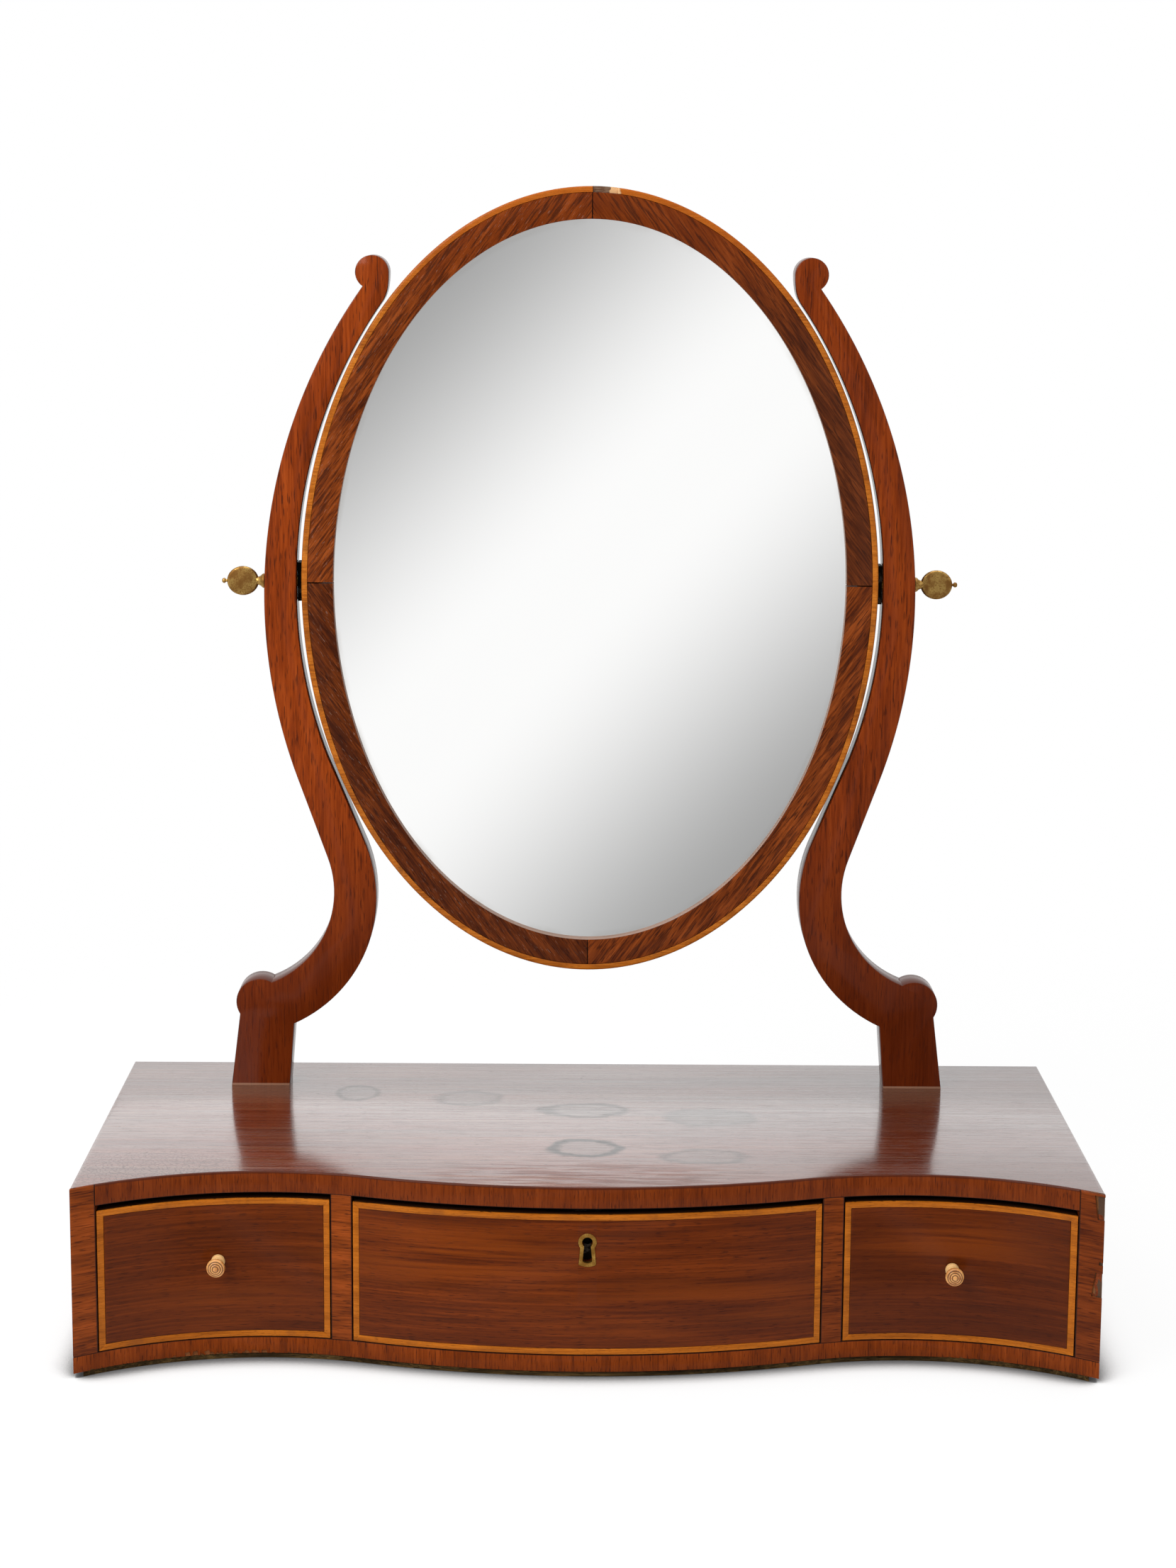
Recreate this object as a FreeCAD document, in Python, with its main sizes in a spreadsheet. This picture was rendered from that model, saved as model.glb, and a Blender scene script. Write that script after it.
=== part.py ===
import FreeCAD, Part
import math
import os
import re

import Sketcher

Vector = FreeCAD.Vector
Rotation = FreeCAD.Rotation
Placement = FreeCAD.Placement

# Dressing table mirror: an oval mirror swinging between two scrolled uprights,
# on a serpentine box base with three drawers.
# Millimetres, +Z up, the front faces -Y, left and right as seen from the front.
# The origin is the middle of the footprint, on the surface that the base rests on.

doc = FreeCAD.newDocument("dressing_table_mirror")

SIZES = {
    # Box base: overall size and the boards it is made of
    "base_width": 470,
    "base_depth": 220,
    "panel_thickness": 2.5,
    "panel_end_inset": 4,
    "panel_front_inset": 1,
    "panel_back_inset": 3,
    "bottom_thickness": 8,
    "opening_height": 70,
    "top_thickness": 10,
    "side_thickness": 10.5,
    "divider_thickness": 10,
    "divider_offset": 113.8,
    "back_thickness": 9,
    "veneer_thickness": 1.5,
    # Serpentine front in plan: a swell in the middle, a hollow at each end
    "swell_half_width": 102,
    "swell_radius": 338,
    "hollow_radius": 149,
    # Drawers
    "drawer_side_gap": 0.5,
    "drawer_foot_gap": 0.4,
    "drawer_head_gap": 2.7,
    "drawer_tail_gap": 0.6,
    "front_thickness": 12.5,
    "stringing_width": 2.8,
    "stringing_thickness": 1.2,
    "drawer_side_thickness": 6,
    "drawer_side_drop": 2,
    "drawer_back_thickness": 6,
    "drawer_bottom_thickness": 4,
    "drawer_bottom_lift": 2,
    "dovetail_width": 15,
    "dovetail_flare": 1.6,
    "dovetail_lap": 4,
    # Turned bone knobs on the end drawers
    "left_knob_offset": 171,
    "left_knob_height": 45.6,
    "right_knob_offset": 169.5,
    "right_knob_height": 43.1,
    "knob_head_radius": 4.3,
    "knob_head_length": 4.2,
    "knob_ring_width": 1.05,
    "knob_ring_step": 0.35,
    "knob_neck_radius": 2.4,
    "knob_neck_length": 5.6,
    "knob_collar_radius": 3.2,
    "knob_collar_length": 1.8,
    "knob_spigot_radius": 2,
    "knob_spigot_length": 10,
    "knob_fit": 0.05,
    # Keyhole escutcheon and the lock behind it
    "keyhole_height": 62.2,
    "keyhole_radius": 2.45,
    "keyhole_waist": 3.1,
    "keyhole_toe_width": 4.5,
    "keyhole_toe_drop": 8.9,
    "keyhole_toe_bulge": 1,
    "escutcheon_wall": 1.85,
    "escutcheon_thickness": 2.5,
    "lock_width": 38,
    "lock_height": 30,
    "lock_depth": 7.5,
    "lock_key_drop": 13,
    "bolt_width": 13,
    "bolt_height": 11,
    "bolt_thickness": 4,
    "bolt_throw": 6.5,
    "bolt_gap": 0.3,
    "lock_screw_radius": 2,
    "lock_screw_head": 0.8,
    "lock_screw_inset": 4.5,
    # Uprights
    "upright_setback": 26,
    "upright_thickness": 18,
    "upright_width": 15.8,
    "upper_inner_ease": 24.2,
    "upper_outer_radius": 262.5,
    "upper_outer_drop": 8.4,
    "knee_height": 97.4,
    "knee_inner_radius": 71.9,
    "knee_outer_radius": 50.6,
    "scroll_radius": 8.2,
    "scroll_rise": 151.6,
    "throat_run": 44.8,
    "belly_run": 48.2,
    "back_run": 43,
    "bump_radius": 11.9,
    "bump_sink": 3.9,
    "bump_lap": 10.1,
    "foot_inset": 12.8,
    "foot_width": 29.4,
    "foot_neck_reach": 17.2,
    "tenon_width": 18,
    "tenon_thickness": 9,
    "tenon_depth": 8,
    "tenon_fit": 0.1,
    # Oval frame and what it holds
    "pivot_rise": 256,
    "oval_drop": 1,
    "oval_half_width": 142.5,
    "oval_half_height": 194.4,
    "frame_face": 15.7,
    "frame_thickness": 16,
    "frame_lip": 4,
    "frame_rebate": 6,
    "frame_joint_gap": 0.6,
    "edging_width": 2.9,
    "edging_depth": 3,
    "glass_thickness": 3,
    "glass_edge_gap": 0.5,
    "block_depth": 6,
    "block_reach": 5,
    "block_angle": 7,
    "backboard_lap": 9.5,
    "backboard_thickness": 4,
    "nail_lap": 7.8,
    "nail_radius": 0.7,
    "nail_length": 11,
    "nail_head_radius": 1.6,
    "nail_head_length": 0.6,
    # Pivots: iron plates on the frame and brass thumbscrews through the uprights
    "plate_thickness": 2.1,
    "plate_run_gap": 0.4,
    "plate_height": 19,
    "plate_depth": 11.5,
    "plate_screw_spread": 13,
    "plate_screw_radius": 1.1,
    "plate_screw_length": 9,
    "plate_screw_head_radius": 2.2,
    "plate_screw_head_length": 0.8,
    "shank_radius": 2.8,
    "shank_run_gap": 0.08,
    "shank_bite": 7,
    "collar_run_gap": 0.3,
    "collar_radius": 3.6,
    "collar_waist_radius": 2.1,
    "collar_length": 3,
    "paddle_length": 15.7,
    "paddle_height": 14.4,
    "paddle_thickness": 3,
    "paddle_edge": 1.1,
    "paddle_lap": 0.8,
    "nib_radius": 1.3,
    "nib_reach": 2.6,
}

# Butt joints of the boxwood edging round the oval, in degrees from the right
EDGING_JOINTS = {
    "edging_top": 90,
    "edging_upper_left": 124,
    "edging_bottom": 263,
    "edging_lower_right": 315,
}
DOVETAIL_COUNT = 3
BLOCK_COUNT = 10
NAIL_COUNT = 8

sheet = doc.addObject("Spreadsheet::Sheet", "Sizes")
for row, (alias, number) in enumerate(list(SIZES.items()) + list(EDGING_JOINTS.items()), start=1):
    sheet.set("A%d" % row, alias.replace("_", " "))
    sheet.set("B%d" % row, str(number))
    sheet.setAlias("B%d" % row, alias)
doc.recompute()

ALIASES = set(SIZES) | set(EDGING_JOINTS)


def cells(text):
    """The same formula with every size name turned into a reference to its cell."""
    return re.sub(r"[a-z_]+", lambda word: "Sizes." + word[0] if word[0] in ALIASES else word[0], text)


def value(text):
    """The number that a formula of size names gives."""
    return float(sheet.evalExpression(cells(text)))


def bind(thing, prop, text):
    thing.setExpression(prop, cells(text))


nodes = {}


def keep(name, thing):
    """Make a finished sub-part one of the exported nodes."""
    thing.Label = name
    nodes[name] = thing
    return thing


# Levels and planes that several pieces share, as formulas of the sizes
FRONT = "(-base_depth / 2)"
BACK = "(base_depth / 2)"
HALF = "(base_width / 2)"
FLOOR = "(panel_thickness + bottom_thickness)"
HEAD = "(panel_thickness + bottom_thickness + opening_height)"
TOP = "(panel_thickness + bottom_thickness + opening_height + top_thickness)"
INNER = "(base_width / 2 - side_thickness)"
BACK_FACE = "(base_depth / 2 - back_thickness)"
PIVOT_Y = "(base_depth / 2 - upright_setback - upright_thickness / 2)"
PIVOT_Z = "(panel_thickness + bottom_thickness + opening_height + top_thickness + pivot_rise)"
SWELL_DEPTH = ("((swell_radius + hollow_radius)"
               " * (1 - sqrt(1 - (swell_half_width / swell_radius) ^ 2)))")
HOLLOW_X = "(swell_half_width * (1 + hollow_radius / swell_radius))"
CROWN = ("(-base_depth / 2 + hollow_radius"
         " - sqrt(hollow_radius ^ 2 - (base_width / 2 - %s) ^ 2) - %s)" % (HOLLOW_X, SWELL_DEPTH))


def box(name, x0, x1, y0, y1, z0, z1):
    solid = doc.addObject("Part::Box", name)
    for prop, low, high in (("Length", x0, x1), ("Width", y0, y1), ("Height", z0, z1)):
        bind(solid, prop, "(%s) - (%s)" % (high, low))
    for axis, low in (("x", x0), ("y", y0), ("z", z0)):
        bind(solid, ".Placement.Base." + axis, low)
    return solid


def cylinder(name, radius, length, start, direction):
    """A round bar from a start point, given as three formulas, along a direction."""
    solid = doc.addObject("Part::Cylinder", name)
    solid.Placement = Placement(Vector(), Rotation(Vector(0, 0, 1), Vector(*direction)))
    bind(solid, "Radius", radius)
    bind(solid, "Height", length)
    for axis, text in zip("xyz", start):
        bind(solid, ".Placement.Base." + axis, text)
    return solid


def boolean(kind, name, base, tool):
    result = doc.addObject("Part::" + kind, name)
    result.Base = base
    result.Tool = tool
    return result


def common(name, base, tool):
    return boolean("Common", name, base, tool)


def cut(name, base, *tools):
    for index, tool in enumerate(tools):
        last = index == len(tools) - 1
        base = boolean("Cut", name if last else "%s_cut_%d" % (name, index), base, tool)
    return base


def group(name, members):
    result = doc.addObject("Part::Compound", name)
    result.Links = members
    return result


def mirrored(name, source):
    """The same piece on the other side of the middle plane."""
    result = doc.addObject("Part::Mirroring", name)
    result.Source = source
    result.Normal = Vector(1, 0, 0)
    return result


def origin_plane(body, role):
    return next(item for item in body.Origin.OriginFeatures if item.Role == role)


def new_body(name, x="0", y="0", z="0"):
    body = doc.addObject("PartDesign::Body", name)
    for axis, text in zip("xyz", (x, y, z)):
        bind(body, ".Placement.Base." + axis, text)
    return body


def new_sketch(body, name, role):
    sketch = body.newObject("Sketcher::SketchObject", name)
    sketch.AttachmentSupport = [(origin_plane(body, role), "")]
    sketch.MapMode = "FlatFace"
    return sketch


ORIGIN = (-1, 1)
START, END, CENTRE = range(1, 4)


def join(sketch, *pairs):
    for first, first_point, second, second_point in pairs:
        sketch.addConstraint(Sketcher.Constraint("Coincident", first, first_point, second, second_point))


def smooth(sketch, *pairs):
    for first, first_point, second, second_point in pairs:
        sketch.addConstraint(Sketcher.Constraint("Tangent", first, first_point, second, second_point))


def dimension(sketch, kind, where, text):
    """A driving dimension whose number comes from a formula of the sizes."""
    index = sketch.addConstraint(Sketcher.Constraint(kind, *where, value(text)))
    sketch.setExpression("Constraints[%d]" % index, cells(text))


def place(sketch, first, second, across, up):
    """Set the second point from the first, across and up; each point is (geometry, position)."""
    dimension(sketch, "DistanceX", first + second, across)
    dimension(sketch, "DistanceY", first + second, up)


def arc(centre, start, end):
    """The arc that turns anticlockwise from start to end about centre."""
    spokes = (start - centre, end - centre)
    angles = [math.atan2(spoke.y, spoke.x) for spoke in spokes]
    circle = Part.Circle(centre, Vector(0, 0, 1), spokes[0].Length)
    return Part.ArcOfCircle(circle, angles[0], angles[1])


def line(start, end):
    return Part.LineSegment(start, end)


def crossing(first, first_radius, second, second_radius, side):
    """Where two circles cross, on the left (1) or right (-1) of the way from first to second."""
    way = second - first
    along = (way.Length ** 2 + first_radius ** 2 - second_radius ** 2) / (2 * way.Length)
    aside = math.sqrt(first_radius ** 2 - along ** 2)
    step = Vector(way).normalize()
    return first + step * along + Vector(-step.y, step.x, 0) * (aside * side)


# Serpentine blocks
# The plan of the base, padded to its height. Each board, veneer and drawer front is sawn from
# such a block, set back from the front by as much as the layers before it are thick.

def serpentine_block(name, setback):
    body = new_body(name)
    sketch = new_sketch(body, name + "_plan", "XY_Plane")
    half, back, front = value(HALF), value(BACK), value("%s + %s" % (FRONT, setback))
    crown = value("%s + %s" % (CROWN, setback))
    swell, hollow = value("swell_radius"), value("hollow_radius")
    turn_x = value("swell_half_width")
    turn_y = crown + swell - math.sqrt(swell ** 2 - turn_x ** 2)
    hollow_x = value(HOLLOW_X)
    hollow_y = crown + value(SWELL_DEPTH) - hollow
    corners = [Vector(sign * half, front) for sign in (-1, 1)]
    turns = [Vector(sign * turn_x, turn_y) for sign in (-1, 1)]
    hollows = [Vector(sign * hollow_x, hollow_y) for sign in (-1, 1)]
    backs = [Vector(sign * half, back) for sign in (-1, 1)]
    sketch.addGeometry([
        arc(hollows[0], turns[0], corners[0]),
        arc(Vector(0, crown + swell), turns[0], turns[1]),
        arc(hollows[1], corners[1], turns[1]),
        line(corners[1], backs[1]),
        line(backs[1], backs[0]),
        line(backs[0], corners[0]),
    ], False)
    smooth(sketch, (0, START, 1, START), (1, END, 2, END))
    join(sketch, (2, START, 3, START), (3, END, 4, START), (4, END, 5, START), (5, END, 0, END))
    sketch.addConstraint(Sketcher.Constraint("Equal", 0, 2))
    dimension(sketch, "Radius", (1,), "swell_radius")
    dimension(sketch, "Radius", (0,), "hollow_radius")
    dimension(sketch, "DistanceX", (1, START, 1, END), "2 * swell_half_width")
    place(sketch, ORIGIN, (3, START), HALF, "%s + %s" % (FRONT, setback))
    place(sketch, ORIGIN, (3, END), HALF, BACK)
    place(sketch, ORIGIN, (4, END), "-" + HALF, BACK)
    place(sketch, ORIGIN, (5, END), "-" + HALF, "%s + %s" % (FRONT, setback))
    pad = body.newObject("PartDesign::Pad", name + "_pad")
    pad.Profile = sketch
    bind(pad, "Length", TOP)
    return body


face_block = serpentine_block("face_block", "0")
board_block = serpentine_block("board_block", "veneer_thickness")
panel_block = serpentine_block("panel_block", "panel_front_inset")
inlay_block = serpentine_block("inlay_block", "stringing_thickness")
inside_block = serpentine_block("inside_block", "front_thickness")

veneer_skin = cut("veneer_skin", face_block, board_block)
inlay_skin = cut("inlay_skin", face_block, inlay_block)
front_core = cut("front_core", inlay_block, inside_block)



def sawn(name, block, x0, x1, z0, z1, y1="base_depth"):
    """The length of a serpentine block that lies inside a box."""
    return common(name, block, box(name + "_saw", x0, x1, "-base_depth", y1, z0, z1))


# Carcass of the base
# A thin stained panel under a bottom board, two sides, two dividers, a back and a top,
# with cross-grained veneer laid over the front edges.

keep("base_panel", sawn("base_panel", panel_block, "panel_end_inset - " + HALF,
                        HALF + " - panel_end_inset", "0", "panel_thickness", BACK + " - panel_back_inset"))
keep("bottom_board", sawn("bottom_board", board_block, "-" + INNER, INNER,
                          "panel_thickness", FLOOR, BACK_FACE))
keep("back_board", box("back_board", "-" + INNER, INNER, BACK_FACE, BACK, "panel_thickness", HEAD))
keep("top_rail_veneer", sawn("top_rail_veneer", veneer_skin, "-" + INNER, INNER, HEAD, TOP))
keep("bottom_rail_veneer", sawn("bottom_rail_veneer", veneer_skin, "-" + HALF, HALF,
                                "panel_thickness", FLOOR))

DIVIDER_NEAR = "(divider_offset - divider_thickness / 2)"
DIVIDER_FAR = "(divider_offset + divider_thickness / 2)"


def span(side, near, far):
    """The two x limits of something that lies from near to far of the middle, on one side."""
    return (near, far) if side == "right" else ("-" + far, "-" + near)


for side in ("left", "right"):
    ends = span(side, INNER, HALF)
    keep(side + "_side", sawn(side + "_side", board_block, *ends, "panel_thickness", HEAD))
    keep(side + "_stile_veneer", sawn(side + "_stile_veneer", veneer_skin, *ends, FLOOR, TOP))
    ends = span(side, DIVIDER_NEAR, DIVIDER_FAR)
    keep(side + "_divider", sawn(side + "_divider", board_block, *ends, FLOOR, HEAD, BACK_FACE))
    keep(side + "_divider_veneer", sawn(side + "_divider_veneer", veneer_skin, *ends, FLOOR, HEAD))


# Uprights
# Fretted boards: a scroll at the top, an arc that follows the oval, a knee and a second scroll
# above a splayed foot, with a tenon below it and the pivot hole through the middle.

INNER_FACE = "(oval_half_width + plate_thickness + plate_run_gap)"
OUTER_FACE = "(oval_half_width + plate_thickness + plate_run_gap + upright_width)"
UPPER_INNER = "(oval_half_height ^ 2 / oval_half_width - upper_inner_ease)"
UPPER_X = "(%s - %s)" % (INNER_FACE, UPPER_INNER)
SCROLL_X = ("(%s + sqrt((%s + scroll_radius) ^ 2 + throat_run ^ 2 - scroll_rise ^ 2))"
            % (UPPER_X, UPPER_INNER))
KNEE_X = ("(%s + sqrt((%s + knee_inner_radius) ^ 2 + belly_run ^ 2 - (pivot_rise - knee_height) ^ 2))"
          % (UPPER_X, UPPER_INNER))
FOOT_X = "(%s - foot_inset)" % KNEE_X
KNEE_OUTER_Z = ("(pivot_rise - upper_outer_drop - sqrt((upper_outer_radius + knee_outer_radius) ^ 2"
                " + back_run ^ 2 - (%s - %s + upper_outer_radius) ^ 2))" % (KNEE_X, OUTER_FACE))
BUMP_Z = ("(%s - sqrt((knee_outer_radius + bump_radius - bump_sink) ^ 2 - foot_inset ^ 2))"
          % KNEE_OUTER_Z)

right_upright = new_body("right_upright_body", y=PIVOT_Y, z=TOP)


def crossed_tangent(first, first_radius, second, second_radius, side):
    """Ends of the line that touches two circles and passes between them."""
    way = second - first
    lean = math.degrees(math.acos((first_radius + second_radius) / way.Length)) * side
    spoke = Rotation(Vector(0, 0, 1), lean).multVec(way.normalize())
    return first + spoke * first_radius, second - spoke * second_radius


def upright_outline(sketch):
    radii = {name: name + "_radius" for name in
             ("scroll", "upper_outer", "knee_inner", "knee_outer", "bump")}
    radii["upper_inner"] = UPPER_INNER
    radius = {name: value(text) for name, text in radii.items()}
    centres = {
        "scroll": (SCROLL_X, "pivot_rise + scroll_rise"),
        "upper_inner": (UPPER_X, "pivot_rise"),
        "upper_outer": (OUTER_FACE + " - upper_outer_radius", "pivot_rise - upper_outer_drop"),
        "knee_inner": (KNEE_X, "knee_height"),
        "knee_outer": (KNEE_X, KNEE_OUTER_Z),
        "bump": (FOOT_X, BUMP_Z),
    }
    at = {name: Vector(value(across), value(up)) for name, (across, up) in centres.items()}

    def tangent(first, second, side):
        return crossed_tangent(at[first], radius[first], at[second], radius[second], side)

    lap, reach = value("bump_lap"), value("foot_neck_reach")
    toes = [Vector(at["bump"].x + sign * value("foot_width") / 2, 0) for sign in (-1, 1)]
    heel = at["bump"] + Vector(lap, -math.sqrt(radius["bump"] ** 2 - lap ** 2))
    aside = at["bump"].x - reach - at["knee_inner"].x
    instep = at["knee_inner"] + Vector(aside, -math.sqrt(radius["knee_inner"] ** 2 - aside ** 2))
    notch = crossing(at["knee_outer"], radius["knee_outer"], at["bump"], radius["bump"], -1)
    nape = crossing(at["upper_outer"], radius["upper_outer"], at["scroll"], radius["scroll"], -1)
    back = tangent("upper_outer", "knee_outer", 1)
    belly = tangent("upper_inner", "knee_inner", 1)
    throat = tangent("upper_inner", "scroll", -1)
    sketch.addGeometry([
        line(toes[0], toes[1]),
        line(toes[1], heel),
        arc(at["bump"], heel, notch),
        arc(at["knee_outer"], back[1], notch),
        line(back[1], back[0]),
        arc(at["upper_outer"], back[0], nape),
        arc(at["scroll"], nape, throat[1]),
        line(throat[1], throat[0]),
        arc(at["upper_inner"], belly[0], throat[0]),
        line(belly[0], belly[1]),
        arc(at["knee_inner"], belly[1], instep),
        line(instep, toes[0]),
    ], False)
    join(sketch, (0, END, 1, START), (1, END, 2, START), (2, END, 3, END), (5, END, 6, START),
         (10, END, 11, START), (11, END, 0, START))
    smooth(sketch, (3, START, 4, START), (4, END, 5, START), (6, END, 7, START), (7, END, 8, END),
           (8, START, 9, START), (9, END, 10, START))
    for index, name in ((2, "bump"), (3, "knee_outer"), (5, "upper_outer"), (6, "scroll"),
                        (8, "upper_inner"), (10, "knee_inner")):
        dimension(sketch, "Radius", (index,), radii[name])
        place(sketch, ORIGIN, (index, CENTRE), *centres[name])
    place(sketch, ORIGIN, (0, START), FOOT_X + " - foot_width / 2", "0")
    place(sketch, ORIGIN, (0, END), FOOT_X + " + foot_width / 2", "0")
    dimension(sketch, "DistanceX", (2, CENTRE, 1, END), "bump_lap")
    dimension(sketch, "DistanceX", (10, END, 2, CENTRE), "foot_neck_reach")


outline = new_sketch(right_upright, "upright_outline", "XZ_Plane")
upright_outline(outline)
board = right_upright.newObject("PartDesign::Pad", "upright_board")
board.Profile = outline
board.SideType = "Symmetric"
bind(board, "Length", "upright_thickness")
tenon = right_upright.newObject("PartDesign::AdditiveBox", "upright_tenon")
for prop, text in (("Length", "tenon_width"), ("Width", "tenon_thickness"), ("Height", "tenon_depth"),
                   (".Placement.Base.x", FOOT_X + " - tenon_width / 2"),
                   (".Placement.Base.y", "-tenon_thickness / 2"),
                   (".Placement.Base.z", "-tenon_depth")):
    bind(tenon, prop, text)
bore = right_upright.newObject("PartDesign::SubtractiveCylinder", "pivot_hole")
bore.Placement = Placement(Vector(), Rotation(Vector(0, 0, 1), Vector(1, 0, 0)))
for prop, text in (("Radius", "shank_radius + shank_run_gap"), ("Height", "2 * upright_width"),
                   (".Placement.Base.x", INNER_FACE + " - upright_width / 2"),
                   (".Placement.Base.z", "pivot_rise")):
    bind(bore, prop, text)
keep("right_upright", right_upright)
keep("left_upright", mirrored("left_upright_mirror", right_upright))


# Top board
# Mortised for the two tenons, and from below for the bolt of the centre drawer's lock.

LOCK_FACE = "(%s + front_thickness)" % CROWN
BOLT_Y = "(%s - lock_depth / 2)" % LOCK_FACE

mortises = []
for side in ("left", "right"):
    near, far = span(side, "(%s - tenon_width / 2 - tenon_fit)" % FOOT_X,
                     "(%s + tenon_width / 2 + tenon_fit)" % FOOT_X)
    mortises.append(box(side + "_mortise", near, far,
                        PIVOT_Y + " - tenon_thickness / 2 - tenon_fit",
                        PIVOT_Y + " + tenon_thickness / 2 + tenon_fit",
                        TOP + " - tenon_depth - tenon_fit", TOP))
mortises.append(box("bolt_mortise", "-bolt_width / 2 - bolt_gap", "bolt_width / 2 + bolt_gap",
                    BOLT_Y + " - bolt_thickness / 2 - bolt_gap", BOLT_Y + " + bolt_thickness / 2 + bolt_gap",
                    HEAD, HEAD + " + bolt_throw - drawer_head_gap + bolt_gap"))
top_blank = sawn("top_blank", board_block, "-" + HALF, HALF, HEAD, TOP)
keep("top_board", cut("top_board", top_blank, *mortises))


# Keyhole outline
# A round head over a slot that widens towards a rounded toe, standing upright in the front.

def keyhole_body(name, wall, y_start, y_end):
    body = new_body(name, y=y_end, z="panel_thickness + keyhole_height")
    sketch = new_sketch(body, name + "_outline", "XZ_Plane")
    head = "(keyhole_radius + %s)" % wall
    waist = "(keyhole_waist / 2 + %s)" % wall
    toe = "(keyhole_toe_width / 2 + %s)" % wall
    drop = "(keyhole_toe_drop + %s)" % wall
    bulge = value("keyhole_toe_bulge")
    throat_z = -math.sqrt(value(head) ** 2 - value(waist) ** 2)
    throats = [Vector(sign * value(waist), throat_z) for sign in (-1, 1)]
    toes = [Vector(sign * value(toe), -value(drop)) for sign in (-1, 1)]
    swing = (value(toe) ** 2 + bulge ** 2) / (2 * bulge)
    sketch.addGeometry([
        arc(Vector(), throats[1], throats[0]),
        line(throats[0], toes[0]),
        arc(Vector(0, swing - bulge - value(drop)), toes[0], toes[1]),
        line(toes[1], throats[1]),
    ], False)
    join(sketch, (0, END, 1, START), (1, END, 2, START), (2, END, 3, START), (3, END, 0, START),
         (0, CENTRE) + ORIGIN)
    dimension(sketch, "Radius", (0,), head)
    dimension(sketch, "DistanceX", (0, END, 0, START), "2 * " + waist)
    place(sketch, ORIGIN, (1, END), "-" + toe, "-" + drop)
    place(sketch, ORIGIN, (2, END), toe, "-" + drop)
    dimension(sketch, "Radius", (2,), "(%s ^ 2 + keyhole_toe_bulge ^ 2) / (2 * keyhole_toe_bulge)" % toe)
    pad = body.newObject("PartDesign::Pad", name + "_pad")
    pad.Profile = sketch
    bind(pad, "Length", "(%s) - (%s)" % (y_end, y_start))
    return body


SEAT_BACK = "(%s + escutcheon_thickness)" % CROWN
escutcheon_blank = keyhole_body("escutcheon_blank", "escutcheon_wall", CROWN, SEAT_BACK)
escutcheon_hole = keyhole_body("escutcheon_hole", "0", CROWN, SEAT_BACK)
escutcheon_seat = keyhole_body("escutcheon_seat", "escutcheon_wall",
                               CROWN + " - escutcheon_thickness", SEAT_BACK)
key_way = keyhole_body("key_way", "0", CROWN, LOCK_FACE)
keep("escutcheon", cut("escutcheon", escutcheon_blank, escutcheon_hole))


# Drawers
# Each has a serpentine mahogany front with a mitred boxwood border let into its edge, lapped
# dovetails that hold it to thin sides, and a back and a bottom behind it.

DRAWER_FOOT = "(panel_thickness + bottom_thickness + drawer_foot_gap)"
DRAWER_HEAD = "(panel_thickness + bottom_thickness + opening_height - drawer_head_gap)"
DRAWER_TAIL = "(base_depth / 2 - back_thickness - drawer_tail_gap)"
X, Y, Z = Vector(1, 0, 0), Vector(0, 1, 0), Vector(0, 0, 1)


def surface(x):
    """The depth of the front face where it runs in a hollow."""
    return ("(%s + %s - hollow_radius + sqrt(hollow_radius ^ 2 - (abs(%s) - %s) ^ 2))"
            % (CROWN, SWELL_DEPTH, x, HOLLOW_X))


def dovetails(name, x0, x1, z0, z1):
    """The tails on the front end of a drawer side, which flare towards their ends."""
    deepest = "max(%s; %s)" % (surface(x0), surface(x1))
    pitch = "((%s - %s) / %d)" % (z1, z0, DOVETAIL_COUNT)
    tails = []
    for index in range(DOVETAIL_COUNT):
        middle = "%s + %r * %s" % (z0, index + 0.5, pitch)
        tail = doc.addObject("Part::Wedge", "%s_tail_%d" % (name, index))
        tail.Placement = Placement(Vector(), Rotation(Z, -Y, X, "XYZ"))
        for prop, text in (("Xmin", "dovetail_flare"), ("Xmax", "dovetail_width - dovetail_flare"),
                           ("X2min", "0"), ("X2max", "dovetail_width"),
                           ("Ymin", "0"), ("Ymax", "front_thickness"),
                           ("Zmin", "0"), ("Zmax", "drawer_side_thickness"),
                           ("Z2min", "0"), ("Z2max", "drawer_side_thickness"),
                           (".Placement.Base.x", x0),
                           (".Placement.Base.y", deepest + " + front_thickness + dovetail_lap"),
                           (".Placement.Base.z", middle + " - dovetail_width / 2")):
            bind(tail, prop, text)
        tails.append(tail)
    return tails


def stringing_strip(name, length, corner, along, inward):
    """One strip of the border, mitred at both ends, sawn from the outer skin of the front."""
    wedge = doc.addObject("Part::Wedge", name + "_mitre")
    wedge.Placement = Placement(Vector(), Rotation(along, inward, along.cross(inward), "XYZ"))
    for prop, text in (("Xmin", "0"), ("Xmax", length), ("X2min", "stringing_width"),
                       ("X2max", "(%s) - stringing_width" % length),
                       ("Ymin", "0"), ("Ymax", "stringing_width"),
                       ("Zmin", "0"), ("Zmax", "base_depth"), ("Z2min", "0"), ("Z2max", "base_depth"),
                       (".Placement.Base.x", corner[0]), (".Placement.Base.z", corner[1])):
        bind(wedge, prop, text)
    return common(name, inlay_skin, wedge)


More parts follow.
